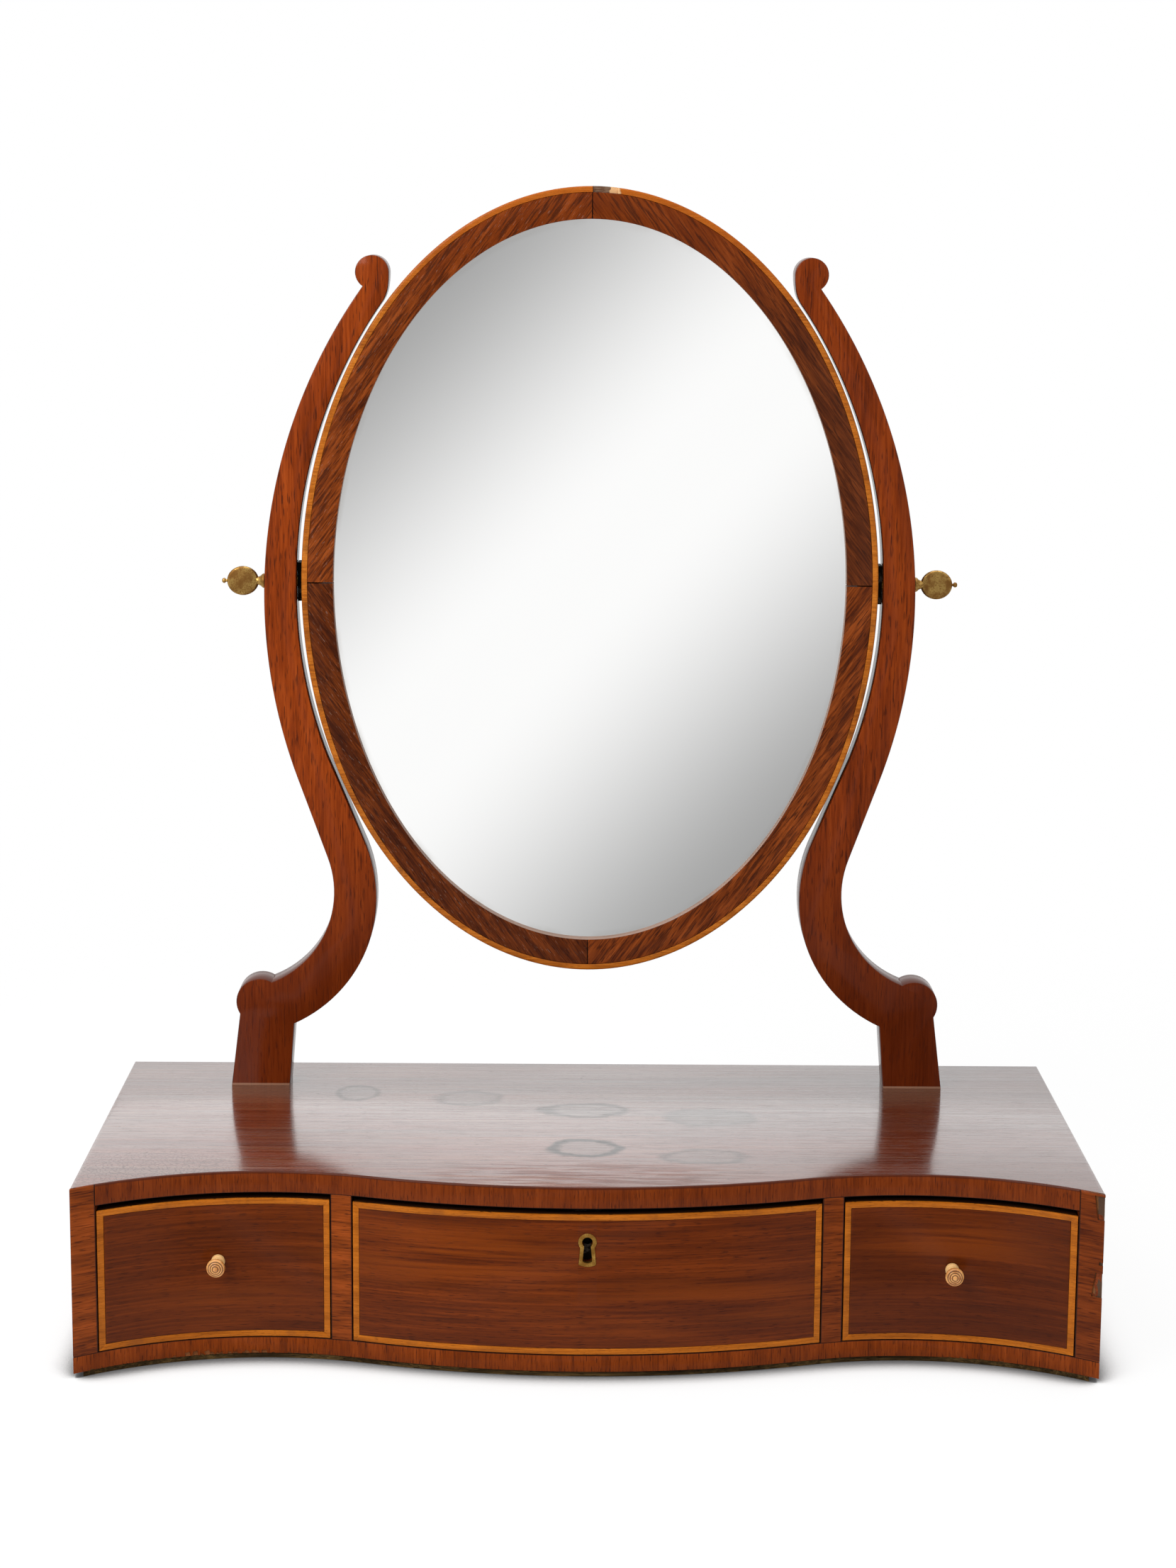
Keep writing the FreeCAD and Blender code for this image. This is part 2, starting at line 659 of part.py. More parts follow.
def drawer(name, opening):
    left = "(%s + drawer_side_gap)" % opening[0]
    right = "(%s - drawer_side_gap)" % opening[1]
    width = "(%s - %s)" % (right, left)
    height = "(%s - %s)" % (DRAWER_HEAD, DRAWER_FOOT)
    side_head = "(%s - drawer_side_drop)" % DRAWER_HEAD
    strips = [
        stringing_strip(name + "_strip_foot", width, (left, DRAWER_FOOT), X, Z),
        stringing_strip(name + "_strip_head", width, (right, DRAWER_HEAD), -X, -Z),
        stringing_strip(name + "_strip_left", height, (left, DRAWER_HEAD), -Z, X),
        stringing_strip(name + "_strip_right", height, (right, DRAWER_FOOT), Z, -X),
    ]
    keep(name + "_stringing", group(name + "_stringing", strips))
    front = doc.addObject("Part::MultiFuse", name + "_front_blank")
    front.Shapes = [
        sawn(name + "_front_core", front_core, left, right, DRAWER_FOOT, DRAWER_HEAD),
        sawn(name + "_front_field", inlay_skin, left + " + stringing_width", right + " - stringing_width",
             DRAWER_FOOT + " + stringing_width", DRAWER_HEAD + " - stringing_width"),
    ]
    inner_left = "(%s + drawer_side_thickness)" % left
    inner_right = "(%s - drawer_side_thickness)" % right
    tails = []
    for side, x0, x1 in (("_left_side", left, inner_left), ("_right_side", inner_right, right)):
        side_tails = dovetails(name + side, x0, x1, DRAWER_FOOT, side_head)
        side_board = doc.addObject("Part::MultiFuse", name + side)
        side_board.Refine = True
        side_board.Shapes = [sawn(name + side + "_board", inside_block, x0, x1,
                                  DRAWER_FOOT, side_head, DRAWER_TAIL)] + side_tails
        keep(name + side, side_board)
        tails += side_tails
    bottom_foot = DRAWER_FOOT + " + drawer_bottom_lift"
    bottom_head = bottom_foot + " + drawer_bottom_thickness"
    keep(name + "_bottom", sawn(name + "_bottom", inside_block, inner_left, inner_right,
                                bottom_foot, bottom_head, DRAWER_TAIL))
    keep(name + "_back", box(name + "_back", inner_left, inner_right,
                             DRAWER_TAIL + " - drawer_back_thickness", DRAWER_TAIL, bottom_head, side_head))
    return cut(name + "_front_socketed", front, *tails)


left_front = drawer("left_drawer", ("-" + INNER, "-" + DIVIDER_FAR))
centre_front = drawer("centre_drawer", ("-" + DIVIDER_NEAR, DIVIDER_NEAR))
right_front = drawer("right_drawer", (DIVIDER_FAR, INNER))


# Knobs
# Turned bone: a ringed head on a waisted neck, a collar and a spigot through the drawer front.

def turning(body, name, steps, role="XY_Plane"):
    """A turned piece: outline points (radius, length) along the sketch's upright axis, both formulas."""
    sketch = new_sketch(body, name + "_outline", role)
    points = [Vector(value(radius), value(length)) for radius, length in steps]
    count = len(points)
    sketch.addGeometry([line(points[i], points[(i + 1) % count]) for i in range(count)], False)
    join(sketch, *[(i, END, (i + 1) % count, START) for i in range(count)])
    for index, (radius, length) in enumerate(steps):
        place(sketch, ORIGIN, (index, START), radius, length)
    turned = body.newObject("PartDesign::Revolution", name + "_turned")
    turned.Profile = sketch
    turned.ReferenceAxis = (sketch, ["V_Axis"])
    turned.Angle = 360
    return turned


NECK_END = "(-knob_collar_length - knob_neck_length)"
HEAD_END = "(-knob_collar_length - knob_neck_length - knob_head_length)"
RING = ["(knob_head_radius - %d * knob_ring_width)" % index for index in range(4)]
STEP = ["(%s - %d * knob_ring_step)" % (HEAD_END, index) for index in range(4)]
KNOB_OUTLINE = [
    ("0", "knob_spigot_length"),
    ("0", STEP[3]),
    (RING[3], STEP[3]), (RING[3], STEP[2]),
    (RING[2], STEP[2]), (RING[2], STEP[1]),
    (RING[1], STEP[1]), (RING[1], STEP[0]),
    ("knob_head_radius - knob_ring_step", STEP[0]),
    ("knob_head_radius", STEP[0] + " + knob_ring_step"),
    ("knob_head_radius", NECK_END + " - knob_head_length / 2"),
    ("knob_neck_radius + knob_ring_step", NECK_END),
    ("knob_neck_radius", NECK_END + " + knob_neck_length / 2"),
    ("knob_neck_radius + knob_ring_step", "-knob_collar_length"),
    ("knob_collar_radius", "-knob_collar_length"),
    ("knob_collar_radius", "0"),
    ("knob_spigot_radius", "0"),
    ("knob_spigot_radius", "knob_spigot_length"),
]

for side, sign, front in (("left", "-", left_front), ("right", "", right_front)):
    seat = surface("(%s_knob_offset + knob_collar_radius)" % side)
    centre = (sign + side + "_knob_offset", seat, "(panel_thickness + %s_knob_height)" % side)
    knob = new_body(side + "_knob_body", *centre)
    turning(knob, side + "_knob", KNOB_OUTLINE)
    keep(side + "_knob", knob)
    hole = cylinder(side + "_knob_hole", "knob_spigot_radius + knob_fit", "2 * knob_spigot_length",
                    (centre[0], seat + " - knob_spigot_length", centre[2]), (0, 1, 0))
    keep(side + "_drawer_front", cut(side + "_drawer_front", front, hole))


# Lock of the centre drawer
# A case let into the back of the front, flush with its top edge, with a bolt that rises out of it.

LOCK_FOOT = "(%s - lock_height)" % DRAWER_HEAD
BOLT_FOOT = "(%s - bolt_height)" % DRAWER_HEAD
lock_box = ("-lock_width / 2", "lock_width / 2", LOCK_FACE + " - lock_depth", LOCK_FACE,
            LOCK_FOOT, DRAWER_HEAD)
lock_mortise = box("lock_mortise", *lock_box[:3], LOCK_FACE + " + base_depth", *lock_box[4:])
keep("centre_drawer_front", cut("centre_drawer_front", centre_front, escutcheon_seat,
                                key_way, lock_mortise))

bolt_way = box("bolt_way", "-bolt_width / 2 - bolt_gap", "bolt_width / 2 + bolt_gap",
               BOLT_Y + " - bolt_thickness / 2 - bolt_gap", BOLT_Y + " + bolt_thickness / 2 + bolt_gap",
               BOLT_FOOT + " - bolt_gap", DRAWER_HEAD)
key_pocket = cylinder("key_pocket", "keyhole_radius", "lock_depth",
                      ("0", LOCK_FACE + " - 1.5 * lock_depth", "panel_thickness + keyhole_height"), (0, 1, 0))
keep("lock_case", cut("lock_case", box("lock_blank", *lock_box), bolt_way, key_pocket))
keep("lock_bolt", box("lock_bolt", "-bolt_width / 2", "bolt_width / 2",
                      BOLT_Y + " - bolt_thickness / 2", BOLT_Y + " + bolt_thickness / 2",
                      BOLT_FOOT, DRAWER_HEAD))

lock_screws = []
for column in (-1, 1):
    for row, level in (("low", LOCK_FOOT + " + lock_screw_inset"),
                       ("high", DRAWER_HEAD + " - lock_screw_inset")):
        across = "%d * (lock_width / 2 - lock_screw_inset)" % column
        lock_screws.append(cylinder("lock_screw_%s_%d" % (row, column + 1), "lock_screw_radius",
                                    "lock_screw_head", (across, LOCK_FACE, level), (0, 1, 0)))
keep("lock_screws", group("lock_screws", lock_screws))


# Ovals
# Everything in the swinging mirror is set out from one oval, whose middle hangs a little below the
# pivot axis so that the mirror stays upright.

FRAME_FRONT = "(%s - frame_thickness / 2)" % PIVOT_Y
FRAME_BACK = "(%s + frame_thickness / 2)" % PIVOT_Y
OVAL_Z = "(%s - oval_drop)" % PIVOT_Z
GLASS_FRONT = "(%s + frame_lip)" % FRAME_FRONT
GLASS_BACK = "(%s + frame_lip + glass_thickness)" % FRAME_FRONT
OVAL_TURN = Rotation(Z, X, Y, "XYZ")


def oval_block(name, inset, y0, y1):
    """An oval slab, drawn in from the outer edge of the frame."""
    rim = doc.addObject("Part::Ellipse", name + "_rim")
    rim.Placement = Placement(Vector(), OVAL_TURN)
    bind(rim, "MajorRadius", "oval_half_height - (%s)" % inset)
    bind(rim, "MinorRadius", "oval_half_width - (%s)" % inset)
    bind(rim, ".Placement.Base.y", y0)
    bind(rim, ".Placement.Base.z", OVAL_Z)
    slab = doc.addObject("Part::Extrusion", name)
    slab.Base = rim
    slab.DirMode = "Custom"
    slab.Dir = Y
    slab.Solid = True
    bind(slab, "LengthFwd", "(%s) - (%s)" % (y1, y0))
    return slab


def oval_ring(name, outer_inset, inner_inset, y0, y1):
    return cut(name, oval_block(name + "_outer", outer_inset, y0, y1),
               oval_block(name + "_inner", inner_inset, y0, y1))


def sector(name, start, sweep):
    """A slice of a disc round the oval's middle: its start angle and its sweep, in degrees."""
    wedge = doc.addObject("Part::Cylinder", name)
    turn = Rotation(X, 90).multiply(Rotation(Z, value(start)))
    wedge.Placement = Placement(Vector(), turn)
    bind(wedge, "Radius", "2 * oval_half_height")
    bind(wedge, "Height", "2 * base_depth")
    bind(wedge, "Angle", sweep)
    bind(wedge, ".Placement.Base.y", "base_depth")
    bind(wedge, ".Placement.Base.z", OVAL_Z)
    return wedge


# Nails and screws of the frame
# Nails hold the backboard and two screws hold each pivot plate; the frame and the pieces they pass
# through are drilled with the same shapes.

NAIL_HEAD = "(%s + backboard_thickness)" % FRAME_BACK
nails = []
for index in range(NAIL_COUNT):
    turn = 2 * math.pi * (index + 0.5) / NAIL_COUNT
    across = "(%r * (oval_half_width - frame_face + nail_lap))" % round(math.cos(turn), 6)
    up = "(%s + %r * (oval_half_height - frame_face + nail_lap))" % (OVAL_Z, round(math.sin(turn), 6))
    nail = doc.addObject("Part::MultiFuse", "nail_%d" % index)
    nail.Shapes = [
        cylinder("nail_shank_%d" % index, "nail_radius", "nail_length",
                 (across, NAIL_HEAD + " - nail_length", up), (0, 1, 0)),
        cylinder("nail_head_%d" % index, "nail_head_radius", "nail_head_length",
                 (across, NAIL_HEAD, up), (0, 1, 0)),
    ]
    nails.append(nail)
keep("backboard_nails", group("backboard_nails", nails))


PLATE_FACE = "(oval_half_width + plate_thickness)"
PLATE_Y = "(%s - plate_depth / 2)" % FRAME_BACK
plate_screws = []
for index, sign in enumerate(("-", "+")):
    level = "%s %s plate_screw_spread / 2" % (PIVOT_Z, sign)
    screw = doc.addObject("Part::MultiFuse", "right_plate_screw_%d" % index)
    screw.Shapes = [
        cylinder("plate_screw_shank_%d" % index, "plate_screw_radius", "plate_screw_length",
                 (PLATE_FACE + " - plate_screw_length", PLATE_Y, level), (1, 0, 0)),
        cylinder("plate_screw_head_%d" % index, "plate_screw_head_radius", "plate_screw_head_length",
                 (PLATE_FACE + " - plate_screw_head_length", PLATE_Y, level), (1, 0, 0)),
    ]
    plate_screws.append(screw)
plate_screws += [mirrored("left_plate_screw_%d" % index, screw)
                 for index, screw in enumerate(plate_screws)]
keep("pivot_plate_screws", group("pivot_plate_screws", plate_screws))


# Oval frame
# Four mahogany segments that meet at the top, the bottom and the two pivots, rebated behind for
# the glass and in front for the boxwood edging.

edging_ring = oval_ring("edging_ring", "0", "edging_width", FRAME_FRONT, FRAME_FRONT + " + edging_depth")
frame_ring = oval_ring("frame_ring", "0", "frame_face", FRAME_FRONT, FRAME_BACK)
glass_rebate = oval_block("glass_rebate", "frame_face - frame_rebate", GLASS_FRONT, FRAME_BACK)
pivot_bores = [cylinder(side + "_pivot_bore", "shank_radius + shank_run_gap", "2 * shank_bite",
                        (sign + "(oval_half_width - shank_bite - shank_run_gap)", PIVOT_Y, PIVOT_Z),
                        (1 if side == "right" else -1, 0, 0))
               for side, sign in (("left", "-"), ("right", ""))]
frame_blank = cut("frame_blank", frame_ring, glass_rebate, edging_ring, *pivot_bores,
                  nodes["backboard_nails"], nodes["pivot_plate_screws"])

for level, z0, z1 in (("upper", PIVOT_Z + " + frame_joint_gap / 2", PIVOT_Z + " + 2 * oval_half_height"),
                      ("lower", PIVOT_Z + " - 2 * oval_half_height", PIVOT_Z + " - frame_joint_gap / 2")):
    for side, x0, x1 in (("left", "-base_width", "0"), ("right", "0", "base_width")):
        name = "frame_%s_%s" % (level, side)
        keep(name, common(name, frame_blank, box(name + "_saw", x0, x1, "-base_depth", "base_depth", z0, z1)))

joints = list(EDGING_JOINTS)
for name, start, end in zip(("edging_short", "edging_left", "edging_bottom", "edging_right"),
                            joints, joints[1:] + [joints[0] + " + 360"]):
    sweep = "%s - %s" % (end, start)
    keep(name, common(name + "_strip", edging_ring, sector(name + "_sector", start, sweep)))


# Mirror plate and its back
# The glass lies in the rebate, wedged by small blocks, under an oval board nailed to the frame.

keep("mirror_glass", oval_block("mirror_glass", "frame_face - frame_rebate + glass_edge_gap",
                                GLASS_FRONT, GLASS_BACK))
block_ring = oval_ring("block_ring", "frame_face - frame_rebate", "frame_face - frame_rebate + block_reach",
                       GLASS_BACK, GLASS_BACK + " + block_depth")
blocks = []
for index in range(BLOCK_COUNT):
    start = "%s * 360 / %d" % (index + 0.5, BLOCK_COUNT)
    name = "block_%d" % index
    blocks.append(common(name, block_ring, sector(name + "_sector", start, "block_angle")))
keep("glazing_blocks", group("glazing_blocks", blocks))
backboard_blank = oval_block("backboard_blank", "frame_face - backboard_lap", FRAME_BACK, NAIL_HEAD)
keep("backboard", cut("backboard_board", backboard_blank, nodes["backboard_nails"]))


# Pivots
# A plate screwed across each side joint of the frame, and a thumbscrew that passes through the
# upright and turns in the plate.

plate_blank = box("plate_blank", "oval_half_width", PLATE_FACE, FRAME_BACK + " - plate_depth", FRAME_BACK,
                  PIVOT_Z + " - plate_height / 2", PIVOT_Z + " + plate_height / 2")
plate_bore = cylinder("plate_bore", "shank_radius + shank_run_gap", "3 * plate_thickness",
                      ("oval_half_width - plate_thickness", PIVOT_Y, PIVOT_Z), (1, 0, 0))
right_plate = cut("right_plate", plate_blank, plate_bore, nodes["pivot_plate_screws"])
keep("right_pivot_plate", right_plate)
keep("left_pivot_plate", mirrored("left_plate_mirror", right_plate))

right_stem = new_body("right_stem", x=OUTER_FACE + " + collar_run_gap", y=PIVOT_Y, z=PIVOT_Z)
right_stem.Placement = Placement(right_stem.Placement.Base, Rotation(Y, X, -Z, "XYZ"))
SHANK = "(-(%s + collar_run_gap - oval_half_width + shank_bite))" % OUTER_FACE
turning(right_stem, "stem", [
    ("0", SHANK),
    ("shank_radius", SHANK),
    ("shank_radius", "0"),
    ("collar_radius", "0"),
    ("collar_waist_radius", "collar_length"),
    ("collar_waist_radius", "collar_length + paddle_lap"),
    ("0", "collar_length + paddle_lap"),
])
PADDLE_X = "(%s + collar_run_gap + collar_length + paddle_length / 2)" % OUTER_FACE
paddle_rim = doc.addObject("Part::Ellipse", "paddle_rim")
paddle_rim.Placement = Placement(Vector(), Rotation(X, -Z, Y, "XYZ"))
bind(paddle_rim, "MajorRadius", "paddle_length / 2")
bind(paddle_rim, "MinorRadius", "paddle_height / 2")
bind(paddle_rim, ".Placement.Base.x", PADDLE_X)
bind(paddle_rim, ".Placement.Base.y", PIVOT_Y + " - paddle_thickness / 2")
bind(paddle_rim, ".Placement.Base.z", PIVOT_Z)
paddle_slab = doc.addObject("Part::Extrusion", "paddle_slab")
paddle_slab.Base = paddle_rim
paddle_slab.DirMode = "Custom"
paddle_slab.Dir = Y
paddle_slab.Solid = True
bind(paddle_slab, "LengthFwd", "paddle_thickness")
doc.recompute()
paddle = doc.addObject("Part::Fillet", "paddle")
paddle.Base = paddle_slab
edge_size = min(value("paddle_edge"), 0.45 * value("paddle_thickness"))
paddle.Edges = [(index, edge_size, edge_size)
                for index, edge in enumerate(paddle_slab.Shape.Edges, start=1)
                if not edge.isSeam(paddle_slab.Shape.Faces[0])]
nib = doc.addObject("Part::Sphere", "nib")
bind(nib, "Radius", "nib_radius")
bind(nib, ".Placement.Base.x", "%s + paddle_length / 2 + nib_reach - nib_radius" % PADDLE_X)
bind(nib, ".Placement.Base.y", PIVOT_Y)
bind(nib, ".Placement.Base.z", PIVOT_Z)
nib_neck = cylinder("nib_neck", "nib_radius / 2", "nib_reach",
                    (PADDLE_X + " + paddle_length / 2 - nib_radius", PIVOT_Y, PIVOT_Z), (1, 0, 0))
right_thumbscrew = doc.addObject("Part::MultiFuse", "right_thumbscrew")
right_thumbscrew.Shapes = [right_stem, paddle, nib, nib_neck]
keep("right_thumbscrew", right_thumbscrew)
keep("left_thumbscrew", mirrored("left_thumbscrew_mirror", right_thumbscrew))


# Check every object and write each node to its own file
doc.recompute()
faults = [item.Name for item in doc.Objects if "Invalid" in item.State or "Error" in item.State]
faults += [name for name, item in nodes.items() if item.Shape.isNull() or not item.Shape.isValid()]
if faults:
    raise RuntimeError("these objects failed: " + ", ".join(faults))

os.makedirs("parts", exist_ok=True)
for name, item in nodes.items():
    item.Shape.exportStep("parts/%s.step" % name)
print("%d nodes, %d solids" % (len(nodes), sum(len(item.Shape.Solids) for item in nodes.values())))
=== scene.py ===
import math
import random

import bmesh
import bpy
from mathutils import Euler, Matrix, Vector


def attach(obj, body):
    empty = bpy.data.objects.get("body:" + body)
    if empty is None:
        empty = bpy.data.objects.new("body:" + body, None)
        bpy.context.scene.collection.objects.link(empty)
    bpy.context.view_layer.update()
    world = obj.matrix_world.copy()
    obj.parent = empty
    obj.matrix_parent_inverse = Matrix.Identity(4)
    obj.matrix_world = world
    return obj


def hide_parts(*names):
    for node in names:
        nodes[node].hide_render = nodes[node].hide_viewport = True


# A dressing table mirror in metres, in the frame of its CAD model: +Z up, the front towards -Y.

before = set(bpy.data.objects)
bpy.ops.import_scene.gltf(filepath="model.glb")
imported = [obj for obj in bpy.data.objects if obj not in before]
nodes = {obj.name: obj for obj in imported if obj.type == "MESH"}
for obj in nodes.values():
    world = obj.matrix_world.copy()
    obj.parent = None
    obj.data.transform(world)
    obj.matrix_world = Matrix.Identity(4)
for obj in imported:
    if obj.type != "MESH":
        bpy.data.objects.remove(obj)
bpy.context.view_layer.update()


# Base panel, bottom and back
# Plain pine boards, glued up as the bottom of the carcass. The thin panel underneath is stained
# nearly black, and its curved edge shows as a dark line below the front.

CARCASS_FOOT = 0.0025
CARCASS_HEAD = 0.0805
BACK_Y = 0.11
SIDE_INNER_X = 0.2245
LEVEL_GRAIN = (0, 0, 0)


def feed(node, inputs):
    """Give a shader node its inputs: a socket is linked, any other value is set."""
    for key, given in inputs.items():
        if isinstance(given, bpy.types.NodeSocket):
            node.id_data.links.new(given, node.inputs[key])
        else:
            node.inputs[key].default_value = given


def put(tree, kind, inputs, **settings):
    """Add a shader node with its settings and inputs."""
    node = tree.nodes.new("ShaderNode" + kind)
    for key, setting in settings.items():
        setattr(node, key, setting)
    feed(node, inputs)
    return node


def place(tree):
    """Where a point of the piece lies, in metres."""
    return put(tree, "TexCoord", {}).outputs["Object"]


def reckon(operation, first, *others):
    """Work a sum on a value and any others."""
    return put(first.id_data, "Math", dict(enumerate((first, *others))), operation=operation).outputs[0]


def times(first, second):
    return reckon("MULTIPLY", first, second)


def mottle(where, scale, detail):
    """Even noise, its spots smaller with a larger scale."""
    spots = put(where.id_data, "TexNoise", {"Vector": where, "Scale": scale, "Detail": detail})
    return spots.outputs["Fac"]


def fibres(tree, length, width, turn=LEVEL_GRAIN, detail=4.0, deep=None):
    """Noise drawn out into fibres of a length, width and depth in metres; a turn lays them another way."""
    laid = put(tree, "Mapping", {"Vector": place(tree), "Rotation": turn,
                                 "Scale": (length, deep or width, width)}, vector_type="TEXTURE")
    return mottle(laid.outputs[0], 1.0, detail)


def ease(source, low, high, start=0.0, end=1.0):
    """Map a value from low to high on to start to end, smoothly and clamped."""
    return put(source.id_data, "MapRange", {"Value": source, "From Min": low, "From Max": high,
                                            "To Min": start, "To Max": end},
               interpolation_type="SMOOTHSTEP").outputs[0]


def blend(mask, first, second):
    """Go from one value to another by a mask."""
    return put(mask.id_data, "Mix", {0: mask, 2: first, 3: second}, data_type="FLOAT").outputs[0]


def mixed(mask, first, second):
    """Go from one colour to another by a mask."""
    return put(mask.id_data, "MixRGB", {"Fac": mask, "Color1": first, "Color2": second}).outputs[0]


def lay(shader, socket, given, mask, share=None):
    """Lay a colour or a value over what already feeds a socket, by a mask or a share of it."""
    if share is not None:
        mask = times(mask, share)
    under = shader.inputs[socket].links[0].from_socket
    if socket == "Base Color":
        feed(shader, {socket: mixed(mask, under, (*given, 1))})
    else:
        feed(shader, {socket: blend(mask, under, given)})


def tint(shader, colour, mask, share=None):
    lay(shader, "Base Color", colour, mask, share)


def opened(finish):
    """The node tree of a finish and its main shader."""
    return finish.node_tree, finish.node_tree.nodes["Principled BSDF"]


def new_finish(name):
    """A finish yet to be coloured, with its node tree and its main shader."""
    finish = bpy.data.materials.new(name)
    finish.use_nodes = True
    return finish, *opened(finish)


def wood(name, dark, middle, light, turn, figure, streak, pore, rough, coat, deep=None):
    """Wood with a broad figure, fine streaks and open pores, each given as (length, width)."""
    finish, tree, shader = new_finish(name)
    broad = fibres(tree, *figure, turn, 2.0, deep)
    fine = fibres(tree, *streak, turn, 5.0, deep)
    pores = ease(fibres(tree, *pore, turn, 1.0, deep), 0.58, 0.7)
    shades = put(tree, "ValToRGB", {"Fac": reckon("ADD", times(broad, 0.45), times(fine, 0.55))})
    ramp = shades.color_ramp
    ramp.elements[0].position = 0.36
    ramp.elements[0].color = (*dark, 1)
    ramp.elements[1].position = 0.64
    ramp.elements[1].color = (*light, 1)
    ramp.elements.new(0.5).color = (*middle, 1)
    dull = ease(fine, 0.35, 0.65, rough - 0.06, rough + 0.06)
    pit = put(tree, "Bump", {"Strength": 0.3, "Distance": 0.0001, "Height": pores}, invert=True)
    feed(shader, {"Base Color": shades.outputs[0], "Roughness": reckon("ADD", dull, times(pores, 0.15)),
                  "Normal": pit.outputs[0], "Specular IOR Level": 0.05, "Coat Weight": coat,
                  "Coat Roughness": 0.14, "Coat IOR": 1.25})
    tint(shader, [channel * 0.3 for channel in dark], pores, 0.7)
    return finish


def dress(finish, *names):
    """Give CAD nodes a finish of their own."""
    for name in names:
        for slot in nodes[name].material_slots:
            slot.material = finish


stained_pine = wood("stained_pine", (0.02, 0.012, 0.005), (0.045, 0.027, 0.01), (0.12, 0.07, 0.024),
                    LEVEL_GRAIN, (0.06, 0.004), (0.02, 0.0008), (0.006, 0.0004), 0.75, 0.0)
pine = wood("old_pine", (0.2, 0.082, 0.026), (0.29, 0.128, 0.044), (0.36, 0.172, 0.064),
            LEVEL_GRAIN, (0.35, 0.014), (0.1, 0.0022), (0.008, 0.0005), 0.62, 0.0)
dress(stained_pine, "base_panel")
dress(pine, "bottom_board")


def begin():
    """Leave nothing selected, so that the next operators act on the new piece alone."""
    if bpy.context.mode != "OBJECT":
        bpy.ops.object.mode_set(mode="OBJECT")
    bpy.ops.object.select_all(action="DESELECT")


def take_up(piece):
    """Select a piece alone, to be worked on."""
    begin()
    bpy.context.view_layer.objects.active = piece
    piece.select_set(True)


def whole():
    """Select all of the piece being edited."""
    bpy.ops.mesh.select_all(action="SELECT")


def settle(name):
    """Name the primitive just added, put its place in its mesh and open it for editing."""
    piece = bpy.context.object
    piece.name = piece.data.name = name
    bpy.ops.object.transform_apply(location=True, rotation=True, scale=True)
    bpy.ops.object.mode_set(mode="EDIT")
    bpy.ops.mesh.select_mode(type="VERT")
    whole()
    return piece


def round_over(size, segments=2):
    """Round the edges that are selected."""
    bpy.ops.mesh.bevel(offset=size, segments=segments, affect="EDGES")


def finished(piece, finish, body, slot, *replaced):
    """Smooth the piece, give it its finish, parent it to its body and hide the CAD nodes it replaces."""
    take_up(piece)
    bpy.ops.object.shade_smooth_by_angle(angle=math.radians(35))
    piece.data.materials.clear()
    piece.data.materials.append(finish)
    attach(piece, body)
    if replaced:
        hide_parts(*replaced)
    return piece


def block(name, low, high):
    """A square block between two corners."""
    begin()
    middle = [(a + b) / 2 for a, b in zip(low, high)]
    bpy.ops.mesh.primitive_cube_add(size=1, location=middle)
    bpy.context.object.scale = [b - a for a, b in zip(low, high)]
    return settle(name)


back_board = block("back_board_piece", (-SIDE_INNER_X, 0.101, CARCASS_FOOT),
                   (SIDE_INNER_X, BACK_Y, CARCASS_HEAD))
round_over(0.0005)
finished(back_board, pine, "base", "pine", "back_board")


# Serpentine top board
# One wide polished mahogany board, sawn to the serpentine plan, with a mortise below for the lock's
# bolt. Its shellac has bloomed, damp glasses have left dark rings, and it has crazed at the front left.

TOP_Z = 0.0905
HALF_WIDTH = 0.235
VENEER = 0.0015
CROWN_Y = -0.10392
SWELL_RADIUS = 0.338
HOLLOW_RADIUS = 0.149
TURN_X = 0.102
TURN = math.asin(TURN_X / SWELL_RADIUS)
HOLLOW_X = TURN_X * (1 + HOLLOW_RADIUS / SWELL_RADIUS)
HOLLOW_Y = CROWN_Y + SWELL_RADIUS - (SWELL_RADIUS + HOLLOW_RADIUS) * math.cos(TURN)


def face_y(x):
    """Where the serpentine face stands at a distance from the middle."""
    if abs(x) < TURN_X:
        return CROWN_Y + SWELL_RADIUS - math.sqrt(SWELL_RADIUS ** 2 - x ** 2)
    return HOLLOW_Y + math.sqrt(HOLLOW_RADIUS ** 2 - (abs(x) - HOLLOW_X) ** 2)


def cut_off(point, outward):
    """Saw the piece being edited along a plane and drop what lies outside it."""
    whole()
    bpy.ops.mesh.bisect(plane_co=point, plane_no=outward, use_fill=True, clear_outer=True)


def start_point(name, spot):
    """Begin a piece as a single point, ready to be drawn out."""
    begin()
    bpy.ops.mesh.primitive_plane_add(size=0.0001, location=spot)
    piece = settle(name)
    bpy.ops.mesh.merge(type="CENTER")
    whole()
    return piece


def draw_out(x, y, z):
    """Extrude what is selected."""
    bpy.ops.mesh.extrude_region_move(TRANSFORM_OT_translate={"value": (x, y, z)})


def face_outwards():
    """Turn every face of the piece being edited outwards."""
    whole()
    bpy.ops.mesh.normals_make_consistent(inside=False)


